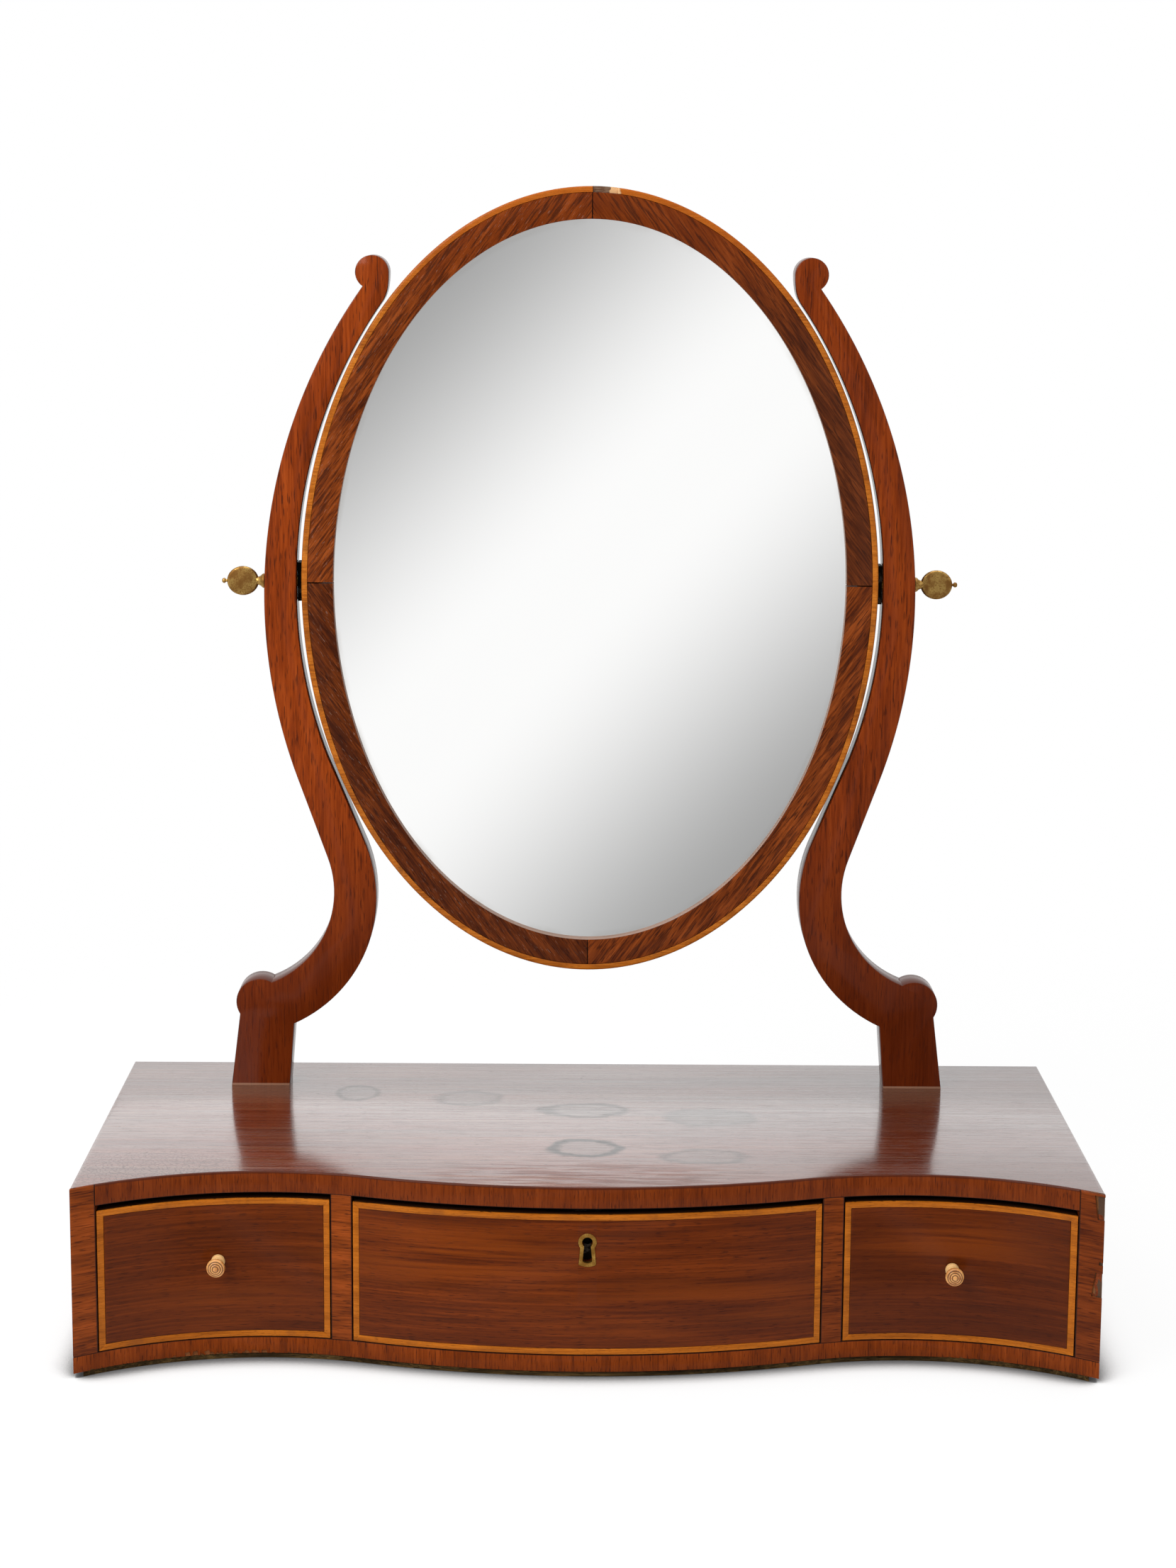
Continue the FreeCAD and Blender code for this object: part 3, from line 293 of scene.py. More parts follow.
def serpentine(name, x0, x1, z0, z1, front, back):
    """A strip that follows the serpentine front, from one depth behind the face to another."""
    piece = start_point(name, (0, CROWN_Y + front, z0))
    draw_out(0, 0, z1 - z0)
    whole()
    bpy.ops.mesh.spin(steps=24, angle=-TURN, center=(0, CROWN_Y + SWELL_RADIUS + front, 0), axis=(0, 0, 1))
    bpy.ops.mesh.spin(steps=64, angle=TURN + math.radians(50), center=(HOLLOW_X, HOLLOW_Y + front, 0),
                      axis=(0, 0, 1))
    if x0 < 0:
        bpy.ops.object.mode_set(mode="OBJECT")
        bpy.ops.object.modifier_add(type="MIRROR")
        bpy.ops.object.modifier_apply(modifier="Mirror")
        bpy.ops.object.mode_set(mode="EDIT")
    whole()
    draw_out(0, back - front, 0)
    face_outwards()
    cut_off((x1, 0, 0), (1, 0, 0))
    cut_off((x0, 0, 0), (-1, 0, 0))
    return piece


def pick(piece, kind, test):
    """Select the vertices or edges of a piece that pass a test."""
    bpy.ops.mesh.select_mode(type=kind)
    bpy.ops.mesh.select_all(action="DESELECT")
    mesh = bmesh.from_edit_mesh(piece.data)
    for part in {"VERT": mesh.verts, "EDGE": mesh.edges}[kind]:
        part.select_set(bool(test(part)))
    mesh.select_flush_mode()
    bmesh.update_edit_mesh(piece.data)


def cut_out(piece, cutter):
    """Cut the shape of a cutter out of a piece and throw the cutter away."""
    take_up(piece)
    bpy.ops.object.modifier_add(type="BOOLEAN")
    piece.modifiers["Boolean"].object = cutter
    piece.modifiers["Boolean"].operation = "DIFFERENCE"
    bpy.ops.object.modifier_apply(modifier="Boolean")
    begin()
    cutter.select_set(True)
    bpy.ops.object.delete()


def along(where, axis):
    """How far a place or a direction goes along X, Y or Z."""
    return put(where.id_data, "SeparateXYZ", {"Vector": where}).outputs[axis]


def around(where, centre, size):
    """How far a place is from a spot's centre, where 1 is the spot's rim."""
    spot = put(where.id_data, "Mapping", {"Vector": where, "Location": centre, "Scale": size},
               vector_type="TEXTURE")
    return put(where.id_data, "VectorMath", {0: spot.outputs[0]}, operation="LENGTH").outputs["Value"]


def wander(reach, where, scale, amount):
    """Make a rim uneven by noise."""
    swing = reckon("SUBTRACT", mottle(where, scale, 4.0), 0.5)
    return reckon("ADD", reach, times(swing, amount))


top_polish = wood("top_polish", (0.09, 0.018, 0.008), (0.16, 0.034, 0.014), (0.22, 0.055, 0.022),
                  LEVEL_GRAIN, (0.35, 0.03), (0.12, 0.0016), (0.014, 0.0005), 0.2, 1.0)
tree, shader = opened(top_polish)
where = place(tree)
across = along(where, "X")
cloud = fibres(tree, 0.07, 0.035)
brushed = fibres(tree, 0.11, 0.0028)
tint(shader, (0.09, 0.06, 0.05), ease(cloud, 0.45, 0.68), 0.35)
tint(shader, (0.26, 0.1, 0.04), ease(brushed, 0.5, 0.7), 0.45)
# Painted shade: the top darkens towards the right, away from the light.
tint(shader, (0.055, 0.009, 0.002), ease(across, -0.05, 0.2, 0.0, 0.65))
gloss = times(ease(cloud, 0.3, 0.7, 0.98, 0.86), ease(brushed, 0.35, 0.6, 0.9, 1.0))
feed(shader, {"Coat Weight": times(gloss, ease(across, -0.02, 0.2, 1.0, 0.78))})
for centre, size, rim, fill in (((-0.0013, 0.0228), (0.0195, 0.0115), 0.6, 0.5),
                                ((-0.0012, -0.0415), (0.0155, 0.013), 0.9, 0.4),
                                ((0.0603, 0.0116), (0.02, 0.0145), 0.2, 0.7),
                                ((0.0555, -0.0543), (0.019, 0.0105), 0.4, 0.4),
                                ((-0.115, 0.052), (0.0105, 0.012), 0.5, 0.4),
                                ((-0.059, 0.0435), (0.016, 0.012), 0.3, 0.45)):
    reach = wander(around(where, (*centre, TOP_Z), (*size, 1)), where, 90.0, 0.75)
    inside = ease(reach, 1.25, 0.95)
    line = times(ease(reach, 0.72, 0.98), ease(reach, 1.28, 1.02))
    tint(shader, (0.075, 0.052, 0.042), inside, fill)
    tint(shader, (0.012, 0.012, 0.01), line, rim)
    lay(shader, "Coat Weight", 0.2, line, rim * 0.75)
    lay(shader, "Coat Weight", 0.4, inside, fill * 0.3)
rubbed = times(ease(around(where, (-0.002, -0.088, TOP_Z), (0.095, 0.03, 1)), 1.2, 0.4),
               ease(fibres(tree, 0.03, 0.0025), 0.44, 0.56))
lay(shader, "Coat Weight", 0.1, rubbed, 0.9)
specks = ease(mottle(where, 600.0, 2.0), 0.66, 0.72)
tint(shader, (0.02, 0.008, 0.004), specks, 0.6)
lay(shader, "Coat Weight", 0.2, specks, 0.5)
cells = put(tree, "TexVoronoi", {"Vector": where, "Scale": 420.0}, feature="DISTANCE_TO_EDGE")
crazed = times(ease(cells.outputs["Distance"], 0.09, 0.02),
               ease(around(where, (-0.205, -0.08, TOP_Z), (0.07, 0.045, 1)), 1.1, 0.3))
tint(shader, (0.03, 0.02, 0.017), crazed, 0.6)
lay(shader, "Coat Weight", 0.2, crazed, 0.5)
edge = ease(along(put(tree, "NewGeometry", {}).outputs["Normal"], "Z"), 0.75, 0.35)
lay(shader, "Coat Weight", 0.1, edge)
tint(shader, (0.13, 0.024, 0.005), edge, 0.8)
waves = put(tree, "Bump", {"Strength": 0.2, "Distance": 0.0002, "Height": fibres(tree, 0.05, 0.0012)})
feed(shader, {"Coat Normal": waves.outputs[0], "Specular IOR Level": ease(edge, 0, 1, 0.5, 0.08),
              "Coat Roughness": 0.12, "Coat IOR": 1.59, "IOR": 1.55})

UNCUT_DEPTH = 0.235
top_board = serpentine("top_board_piece", -HALF_WIDTH, HALF_WIDTH, CARCASS_HEAD, TOP_Z, VENEER, UNCUT_DEPTH)
cut_off((0, BACK_Y, 0), (0, 1, 0))
pick(top_board, "EDGE", lambda edge: all(
    abs(end.co.z - TOP_Z) < 1e-5 for end in edge.verts) and (
    all(abs(abs(end.co.x) - HALF_WIDTH) < 1e-5 for end in edge.verts)
    or all(abs(end.co.y - BACK_Y) < 1e-5 for end in edge.verts)))
round_over(0.0006)
cut_out(top_board, block("bolt_mortise", (-0.0068, -0.09747, 0.0795), (0.0068, -0.09287, 0.0846)))
finished(top_board, top_polish, "base", "top_mahogany", "top_board")


# Sides and dividers
# Thin mahogany boards on edge, the sides polished like the top and the dividers left bare behind
# their facing of veneer. Each side's front end is sawn on the slant of the serpentine.

DEPTH_GRAIN = (0, 0, math.radians(90))
SIDE_FRONT_Y = -0.1085
SIDE_SLANT = 0.0066

side_mahogany = wood("side_mahogany", (0.08, 0.014, 0.003), (0.14, 0.025, 0.004), (0.2, 0.04, 0.007),
                     DEPTH_GRAIN, (0.16, 0.012), (0.05, 0.0011), (0.006, 0.0004), 0.34, 0.6)
for sign, name in ((-1, "left_side"), (1, "right_side")):
    near, far = sorted((sign * SIDE_INNER_X, sign * HALF_WIDTH))
    side = block(name + "_piece", (near, SIDE_FRONT_Y, CARCASS_FOOT), (far, BACK_Y, CARCASS_HEAD))
    round_over(0.0004)
    pick(side, "VERT", lambda end: abs(end.co.x) < SIDE_INNER_X + 0.0013 and end.co.y < -0.1)
    bpy.ops.transform.translate(value=(0, SIDE_SLANT, 0))
    finished(side, side_mahogany, "base", "side_mahogany", name)
dress(side_mahogany, "left_divider", "right_divider")


# Crossbanded veneers of the front
# Sawn mahogany veneer, glued over the front edges with its grain across each member: upright on the
# rails, level on the stiles and dividers. The lower edge is chipped, and three bits are lost on the right.

UPRIGHT_GRAIN = (0, math.radians(-90), 0)
RAIL_HEAD = 0.0105
DIVIDER_X = (0.1088, 0.1188)
FACE_REACH = 1.0
# Painted shade: a near-black brown laid along the edges beside the drawer openings, to darken the gaps round
# the drawers.
GAP_SHADE = (0.012, 0.006, 0.004)

rail_veneer = wood("rail_veneer", (0.11, 0.018, 0.001), (0.168, 0.028, 0.001), (0.22, 0.04, 0.003),
                   UPRIGHT_GRAIN, (0.03, 0.008), (0.02, 0.0009), (0.006, 0.0005), 0.38, 0.35, FACE_REACH)
stile_veneer = wood("stile_veneer", (0.085, 0.015, 0.002), (0.19, 0.036, 0.003), (0.28, 0.054, 0.006),
                    LEVEL_GRAIN, (0.03, 0.006), (0.018, 0.001), (0.006, 0.0006), 0.38, 0.35, FACE_REACH)


def behind_face(where):
    """How far a place lies behind the face, in one of its hollows."""
    out = reckon("ABSOLUTE", along(where, "X"))
    plan = put(where.id_data, "CombineXYZ", {"X": out, "Y": along(where, "Y")}).outputs[0]
    reach = put(where.id_data, "VectorMath", {0: plan, 1: (HOLLOW_X, HOLLOW_Y, 0)}, operation="DISTANCE")
    behind = reckon("SUBTRACT", reach.outputs["Value"], HOLLOW_RADIUS)
    return times(behind, ease(out, 0.1025, 0.1035))


def painted_shade_to_right(shader, share):
    """Darken the wood towards the right: painted shade, for light that falls from the left."""
    across = along(place(shader.id_data), "X")
    tint(shader, (0.04, 0.004, 0.0003), ease(across, -0.2, 0.2, 0.0, share))


tree, shader = opened(rail_veneer)
where = place(tree)
height = along(where, "Z")
tint(shader, (0.05, 0.004, 0.0003), ease(height, 0.05, 0.08, 0.0, 0.24))
lip = ease(wander(height, where, 150.0, 0.0006), 0.0893, 0.0899)
tint(shader, (0.05, 0.009, 0.003), lip, 0.75)
chipped = times(ease(behind_face(where), 0.0001, 0.0003), ease(height, 0.0065, 0.0055))
tint(shader, (0.2, 0.066, 0.02), chipped)
lay(shader, "Roughness", 0.75, chipped)
# Painted shade along the rails' edges beside the drawer openings.
opening_shade = times(ease(height, 0.01005, 0.01035), ease(height, 0.081, 0.0807))
tint(shader, GAP_SHADE, opening_shade, 0.85)

tree, shader = opened(stile_veneer)
# Painted shade: darker towards the right.
painted_shade_to_right(shader, 0.36)
where = place(tree)
across = along(where, "X")
# Painted shade along the stiles' and dividers' edges beside the drawer openings.
for edge in (*DIVIDER_X, SIDE_INNER_X):
    apart = reckon("ABSOLUTE", reckon("SUBTRACT", reckon("ABSOLUTE", across), edge))
    tint(shader, GAP_SHADE, ease(apart, 0.0006, 0.0003, 0.0, 0.85))
lost = times(ease(behind_face(where), 0.0002, 0.0005), ease(across, 0.2285, 0.229))
lost = times(lost, ease(across, 0.23495, 0.2349))
glue = ease(wander(across, where, 200.0, 0.002), 0.2318, 0.2326)
tint(shader, (0.17, 0.065, 0.022), lost)
tint(shader, (0.075, 0.04, 0.024), lost, glue)
lay(shader, "Roughness", 0.8, lost)


def ease_edges(size):
    """Round every sharp edge of the piece being edited."""
    bpy.ops.mesh.select_mode(type="EDGE")
    bpy.ops.mesh.select_all(action="DESELECT")
    bpy.ops.mesh.edges_select_sharp(sharpness=math.radians(40))
    round_over(size)


def facing(name, x0, x1, z0, z1):
    """A strip of veneer on the front, its edges eased and the edge of the top rubbed rounder."""
    piece = serpentine(name + "_piece", x0, x1, z0, z1, 0, VENEER)
    if z1 > TOP_Z - 1e-5:
        pick(piece, "EDGE", lambda edge: all(
            end.co.z > TOP_Z - 1e-5 and abs(end.co.y - face_y(end.co.x)) < 0.0002 for end in edge.verts))
        round_over(0.0007, 3)
    ease_edges(0.0003)
    return piece


def break_away(piece, x, z, size, tilt, lean, ragged, seed):
    """Split a ragged bit (wide, deep, tall) off the face of a veneer; its inner side may lean."""
    slope = -math.copysign(math.asin((abs(x) - HOLLOW_X) / HOLLOW_RADIUS), x)
    begin()
    bpy.ops.mesh.primitive_cube_add(size=1, location=(x, face_y(x), z), rotation=(0, tilt, slope))
    bpy.context.object.scale = (size[0], 2 * size[1], size[2])
    bit = settle("broken_bit")
    pick(bit, "VERT", lambda end: end.co.x < x and end.co.z > z)
    bpy.ops.transform.translate(value=(lean * math.cos(slope), lean * math.sin(slope), 0))
    whole()
    bpy.ops.mesh.subdivide(number_cuts=3)
    bpy.ops.transform.vertex_random(offset=ragged, seed=seed)
    cut_out(piece, bit)


top_rail = facing("top_rail_veneer", -SIDE_INNER_X, SIDE_INNER_X, CARCASS_HEAD, TOP_Z)
finished(top_rail, rail_veneer, "base", "rail_veneer", "top_rail_veneer")
bottom_rail = facing("bottom_rail_veneer", -HALF_WIDTH, HALF_WIDTH, CARCASS_FOOT, RAIL_HEAD)
chance = random.Random(5)
for x0, x1, count, tallest in ((-0.229, -0.19, 12, 0.0014), (-0.187, -0.15, 16, 0.0048),
                               (-0.147, -0.122, 5, 0.0012), (0.165, 0.195, 5, 0.0012)):
    for chip in range(count):
        x = x0 + (x1 - x0) * (chip + chance.uniform(0.1, 0.9)) / count
        wide = chance.uniform(0.0008, 0.0026)
        thick = chance.uniform(0.0004, 0.0008)
        tall = tallest * chance.uniform(0.3, 1.0)
        tilt = chance.uniform(-0.5, 0.5)
        break_away(bottom_rail, x, CARCASS_FOOT, (wide, thick, tall), tilt, 0, 0.00006, chip)
finished(bottom_rail, rail_veneer, "base", "rail_veneer", "bottom_rail_veneer")


def copy_of(piece, name):
    """A copy of a piece, with a mesh of its own, open for editing."""
    take_up(piece)
    bpy.ops.object.duplicate()
    twin = bpy.context.object
    twin.name = twin.data.name = name
    bpy.ops.object.mode_set(mode="EDIT")
    return twin


def opposite(piece, name, finish, body, slot, *replaced):
    """A copy of a piece on the other side of the middle."""
    twin = copy_of(piece, name)
    whole()
    bpy.ops.transform.resize(value=(-1, 1, 1), center_override=(0, 0, 0))
    face_outwards()
    return finished(twin, finish, body, slot, *replaced)


for member, x0, x1, head in (("stile", SIDE_INNER_X, HALF_WIDTH, TOP_Z),
                             ("divider", *DIVIDER_X, CARCASS_HEAD)):
    strip = facing("right_%s_veneer" % member, x0, x1, RAIL_HEAD, head)
    opposite(strip, "left_%s_veneer_piece" % member, stile_veneer, "base", "stile_veneer",
             "left_%s_veneer" % member)
    if member == "stile":
        break_away(strip, 0.2345, 0.0836, (0.006, 0.001, 0.0112), 0, -0.0018, 0.0002, 7)
        break_away(strip, 0.2337, 0.0471, (0.008, 0.001, 0.0117), 0, 0.0018, 0.0002, 8)
        break_away(strip, 0.2347, 0.0574, (0.0036, 0.0007, 0.0016), 0, 0, 0.0001, 9)
    finished(strip, stile_veneer, "base", "stile_veneer", "right_%s_veneer" % member)


# Drawer boxes
# Thin oak sides, backs and bottoms, dovetailed and glued, rubbed smooth by use and never polished.
# The sides' tails run into sockets in the back of each front.

drawer_oak = wood("drawer_oak", (0.22, 0.094, 0.032), (0.33, 0.152, 0.056), (0.41, 0.205, 0.08),
                  DEPTH_GRAIN, (0.2, 0.012), (0.06, 0.0012), (0.006, 0.0005), 0.6, 0.0)
for drawer in ("left", "centre", "right"):
    for board in ("left_side", "right_side", "back", "bottom"):
        dress(drawer_oak, "%s_drawer_%s" % (drawer, board))


# Drawer fronts
# Each is sawn to the serpentine from mahogany half an inch thick, with the grain level. A rebate round the
# face takes the boxwood line, and sockets behind take the dovetails of the sides.

FRONT_FOOT = 0.0109
FRONT_HEAD = 0.0778
FRONT_THICK = 0.0125
END_FRONT_X = (0.1193, 0.224)
CENTRE_FRONT_X = (-0.1083, 0.1083)
LINE_WIDTH = 0.0028
LINE_DEPTH = 0.0012
LINE_JOINT = 0.00012
TAIL_PITCH = (0.0758 - FRONT_FOOT) / 3
TAIL_WIDTH = 0.015
TAIL_NECK = 0.7867
LAP = 0.004

front_mahogany = wood("front_mahogany", (0.064, 0.011, 0.001), (0.108, 0.018, 0.001), (0.17, 0.03, 0.002),
                      LEVEL_GRAIN, (0.11, 0.006), (0.05, 0.0011), (0.006, 0.0004), 0.36, 0.45, FACE_REACH)
tree, shader = opened(front_mahogany)
# Painted shade: darker towards the right.
painted_shade_to_right(shader, 0.28)
where = place(tree)
out = reckon("ABSOLUTE", along(where, "X"))
tint(shader, (0.05, 0.009, 0.001), ease(out, 0.109, 0.119, 0.0, 0.3))
# The top edge of each front is darkened: partly bare wood gone dark, mostly painted shade for the gap under
# the rail above.
upper_edge_shade = ease(along(where, "Z"), FRONT_HEAD - 0.0004, FRONT_HEAD - 0.0002)
tint(shader, (0.03, 0.011, 0.005), upper_edge_shade)
for centre, size, strength in (((-0.06, -0.09, 0.055), (0.075, 1, 0.018), 0.8),
                               ((0.05, -0.09, 0.032), (0.085, 1, 0.02), 0.6),
                               ((0.17, -0.085, 0.058), (0.05, 1, 0.014), 0.6),
                               ((-0.17, -0.085, 0.03), (0.05, 1, 0.014), 0.4)):
    flame = times(ease(around(where, centre, size), 1.3, 0.1),
                  ease(fibres(tree, 0.12, 0.0045, LEVEL_GRAIN, 3.0, FACE_REACH), 0.4, 0.62))
    tint(shader, (0.2, 0.038, 0.002), flame, strength)


def tail_cutter(x, y):
    """Three dovetails, flaring towards their ends, that leave their sockets in a front."""
    middle = FRONT_FOOT + TAIL_PITCH / 2
    begin()
    bpy.ops.mesh.primitive_cube_add(size=1, location=(x, y + FRONT_THICK / 2, middle))
    bpy.context.object.scale = (0.00602, FRONT_THICK, TAIL_WIDTH)
    cutter = settle("tail_cutter")
    pick(cutter, "VERT", lambda end: end.co.y > y + 0.01)
    bpy.ops.transform.resize(value=(1, 1, TAIL_NECK), center_override=(x, y, middle))
    whole()
    for next_tail in range(2):
        bpy.ops.mesh.duplicate_move(TRANSFORM_OT_translate={"value": (0, 0, TAIL_PITCH)})
    return cutter


def joined(name, *parts):
    """Make several meshes one piece."""
    take_up(parts[0])
    for part in parts:
        part.select_set(True)
    bpy.ops.object.join()
    parts[0].name = parts[0].data.name = name
    return parts[0]


def drawer_front(name, x0, x1):
    """The thick core of a front and the face that stands forward of it inside the line."""
    core = serpentine(name, x0, x1, FRONT_FOOT, FRONT_HEAD, LINE_DEPTH, FRONT_THICK)
    ease_edges(0.0003)
    edge = LINE_WIDTH + LINE_JOINT
    face = serpentine(name + "_face", x0 + edge, x1 - edge, FRONT_FOOT + edge, FRONT_HEAD - edge,
                      0, LINE_DEPTH + 0.0004)
    ease_edges(LINE_JOINT)
    return core, face


core, face = drawer_front("right_drawer_front_piece", *END_FRONT_X)
for x, deepest in ((0.1223, 0.1253), (0.221, 0.218)):
    cut_out(core, tail_cutter(x, face_y(deepest) + LAP))
right_front = joined("right_drawer_front_piece", core, face)
finished(right_front, front_mahogany, "right_drawer", "front_mahogany", "right_drawer_front")
opposite(right_front, "left_drawer_front_piece", front_mahogany, "left_drawer", "front_mahogany",
         "left_drawer_front")
centre_core, centre_face = drawer_front("centre_drawer_front_piece", *CENTRE_FRONT_X)
for x in (-0.1053, 0.1053):
    cut_out(centre_core, tail_cutter(x, face_y(CENTRE_FRONT_X[1]) + LAP))


# Boxwood lines round the drawer fronts
# Square strings of boxwood, gone golden under the polish, glued into the rebate round each front and
# mitred at the corners.

boxwood = wood("boxwood", (0.22, 0.055, 0.003), (0.37, 0.1, 0.005), (0.48, 0.14, 0.01),
               LEVEL_GRAIN, (0.08, 0.004), (0.02, 0.0005), (0.003, 0.00015), 0.34, 0.45, FACE_REACH)
tree, shader = opened(boxwood)
tint(shader, (0.2, 0.055, 0.008), ease(mottle(place(tree), 60.0, 5.0), 0.55, 0.75), 0.6)


def boxwood_line(name, x0, x1):
    """Four mitred strings, each sawn off along the diagonal of its corners."""
    strings = []
    corners = ((x0, FRONT_FOOT, 1, 1), (x1, FRONT_FOOT, -1, 1), (x0, FRONT_HEAD, 1, -1),
               (x1, FRONT_HEAD, -1, -1))
    for edge, low_x, high_x, low_z, high_z in (
            ("foot", x0, x1, FRONT_FOOT, FRONT_FOOT + LINE_WIDTH),
            ("head", x0, x1, FRONT_HEAD - LINE_WIDTH, FRONT_HEAD),
            ("left", x0, x0 + LINE_WIDTH, FRONT_FOOT, FRONT_HEAD),
            ("right", x1 - LINE_WIDTH, x1, FRONT_FOOT, FRONT_HEAD)):
        string = serpentine("%s_%s" % (name, edge), low_x, high_x, low_z, high_z, 0, LINE_DEPTH)
        for x, z, inward, upward in corners:
            if low_x - 1e-6 < x < high_x + 1e-6 and low_z - 1e-6 < z < high_z + 1e-6:
                level = edge in ("foot", "head")
                way = (-inward, 0, upward) if level else (inward, 0, -upward)
                cut_off((x, 0, z), Vector(way).normalized())
        ease_edges(LINE_JOINT)
        strings.append(string)
    return joined(name, *strings)


right_line = boxwood_line("right_drawer_line_piece", *END_FRONT_X)
finished(right_line, boxwood, "right_drawer", "boxwood", "right_drawer_stringing")
opposite(right_line, "left_drawer_line_piece", boxwood, "left_drawer", "boxwood", "left_drawer_stringing")
centre_line = boxwood_line("centre_drawer_line_piece", *CENTRE_FRONT_X)
finished(centre_line, boxwood, "centre_drawer", "boxwood", "centre_drawer_stringing")


# Keyhole escutcheon and lock
# A cast brass keyhole rim let in flush with the centre front, over an iron lock cased in its back.
# The brass has gone brown, with brighter metal along the rubbed edges.

AHEAD_Y = -0.11
KEYHOLE_Z = 0.0647
KEYHOLE_DROP = 0.0089
TOE_RISE = 0.001


def trace(name, start, path, depth, foot=0.0):
    """Draw an upright outline above a foot by runs (point) and arcs (centre, point, steps, turn)."""
    def at(point):
        return Vector((point[0], point[1] + foot))

    piece = start_point(name, (start[0], depth, start[1] + foot))
    here = at(start)
    for step in path:
        if len(step) == 2:
            end = at(step)
            run = end - here
            draw_out(run.x, 0, run.y)
        else:
            centre, end, steps, turn = at(step[0]), at(step[1]), step[2], step[3]
            first, last = here - centre, end - centre
            angle = math.atan2(last.y, last.x) - math.atan2(first.y, first.x)
            angle = angle % math.tau if turn > 0 else angle % math.tau - math.tau
            bpy.ops.mesh.spin(steps=steps, angle=angle, center=(centre.x, depth, centre.y), axis=(0, 1, 0))
        here = end
    whole()
    bpy.ops.mesh.remove_doubles(threshold=0.00005)
    return piece


def thicken(depth):
    """Fill the outline being edited and give it a thickness."""
    bpy.ops.mesh.edge_face_add()
    draw_out(0, depth, 0)
    face_outwards()


def keyhole(name, wall, y0, y1):
    """A keyhole-shaped slab: a round head above a slot that widens to a rounded toe."""
    head, waist, toe = 0.00245 + wall, 0.00155 + wall, 0.00225 + wall
    drop = KEYHOLE_Z - KEYHOLE_DROP - wall
    throat = KEYHOLE_Z - math.sqrt(head ** 2 - waist ** 2)
    swing = (toe ** 2 + TOE_RISE ** 2) / (2 * TOE_RISE)
    piece = trace(name, (toe, drop), [
        (waist, throat),
        ((0, KEYHOLE_Z), (-waist, throat), 28, 1),
        (-toe, drop),
        ((0, drop + swing - TOE_RISE), (toe, drop), 10, 1),
    ], y0)
    thicken(y1 - y0)
    return piece


def metal(name, dark, bright, rough, worn):
    """Old metal: a dark skin, mottled, with brighter metal where it is rubbed."""
    finish, tree, shader = new_finish(name)
    where = place(tree)
    speck = mottle(where, 1500.0, 3.0)
    mask = times(ease(mottle(where, 200.0, 5.0), 0.5 - worn, 0.62), ease(speck, 0.7, 0.45))
    grit = put(tree, "Bump", {"Strength": 0.15, "Distance": 0.0001, "Height": speck})
    feed(shader, {"Base Color": mixed(mask, (*dark, 1), (*bright, 1)), "Metallic": 1.0,
                  "Roughness": ease(mask, 0, 1, rough + 0.2, rough), "Normal": grit.outputs[0]})
    return finish


aged_brass = metal("aged_brass", (0.2, 0.093, 0.0235), (0.47, 0.29, 0.085), 0.34, 0.14)
bright_brass = metal("bright_brass", (0.25, 0.118, 0.0225), (0.5, 0.29, 0.068), 0.36, 0.16)
black_iron = metal("black_iron", (0.012, 0.009, 0.007), (0.05, 0.04, 0.033), 0.45, 0.0)
steel = metal("screw_steel", (0.12, 0.11, 0.1), (0.42, 0.4, 0.38), 0.35, 0.05)

for part in (centre_core, centre_face):
    cut_out(part, keyhole("seat_cutter", 0.00185, AHEAD_Y, -0.10142))
    cut_out(part, keyhole("way_cutter", 0, AHEAD_Y, -0.08))
cut_out(centre_core, block("lock_mortise", (-0.01902, -0.09892, 0.0478), (0.01902, -0.07892, 0.0878)))
centre_front = joined("centre_drawer_front_piece", centre_core, centre_face)
finished(centre_front, front_mahogany, "centre_drawer", "front_mahogany", "centre_drawer_front")

escutcheon = keyhole("escutcheon_piece", 0.0018, -0.1041, -0.1015)
ease_edges(0.00025)
cut_out(escutcheon, keyhole("hole_cutter", 0, AHEAD_Y, -0.1))
finished(escutcheon, bright_brass, "centre_drawer", "aged_brass", "escutcheon")
dress(black_iron, "lock_case")
dress(steel, "lock_bolt", "lock_screws")


# Turned knobs
# Small bone knobs from the lathe: three rings on the face of the head, a waisted neck and a collar
# that beds on the hollow of the drawer front. Handling has yellowed them.

def bone(name, axis):
    """Yellowed bone, with dirt in the rings that the lathe cut round the knob's axis."""
    finish, tree, shader = new_finish(name)
    where = place(tree)
    cloud = mottle(where, 300.0, 4.0)
    feed(shader, {"Base Color": mixed(ease(cloud, 0.35, 0.65), (0.45, 0.18, 0.045, 1), (0.66, 0.32, 0.1, 1)),
                  "Roughness": ease(cloud, 0.3, 0.7, 0.25, 0.4),
                  "Subsurface Weight": 0.1, "Subsurface Scale": 0.001})
    reach = around(where, (axis[0], 0, axis[1]), (0.001, 1000, 0.001))
    depth = along(where, "Y")
    tint(shader, (0.78, 0.5, 0.22), ease(depth, -0.0925, -0.0895, 0.0, 0.7))
    for groove in (1.35, 2.35, 3.3):
        line = times(ease(reach, groove - 0.4, groove), ease(reach, groove + 0.4, groove))
        tint(shader, (0.11, 0.033, 0.008), line, ease(depth, -0.0935, -0.0942))
    return finish


def turned(name, profile, middle, axis, steps=48):
    """Turn an outline of (radius, length) points round an axis, as on a lathe."""
    piece = start_point(name, (profile[0][0], 0, profile[0][1]))
    for before, after in zip(profile, profile[1:]):
        draw_out(after[0] - before[0], 0, after[1] - before[1])
    whole()
    bpy.ops.mesh.spin(steps=steps, angle=math.tau, center=(0, 0, 0), axis=(0, 0, 1))
    whole()
    bpy.ops.mesh.remove_doubles(threshold=0.000005)
    bpy.ops.mesh.normals_make_consistent(inside=False)
    bpy.ops.object.mode_set(mode="OBJECT")
    piece.location = middle
    piece.rotation_euler = Vector((0, 0, 1)).rotation_difference(Vector(axis)).to_euler()
    bpy.ops.object.transform_apply(location=True, rotation=True, scale=True)
    return piece


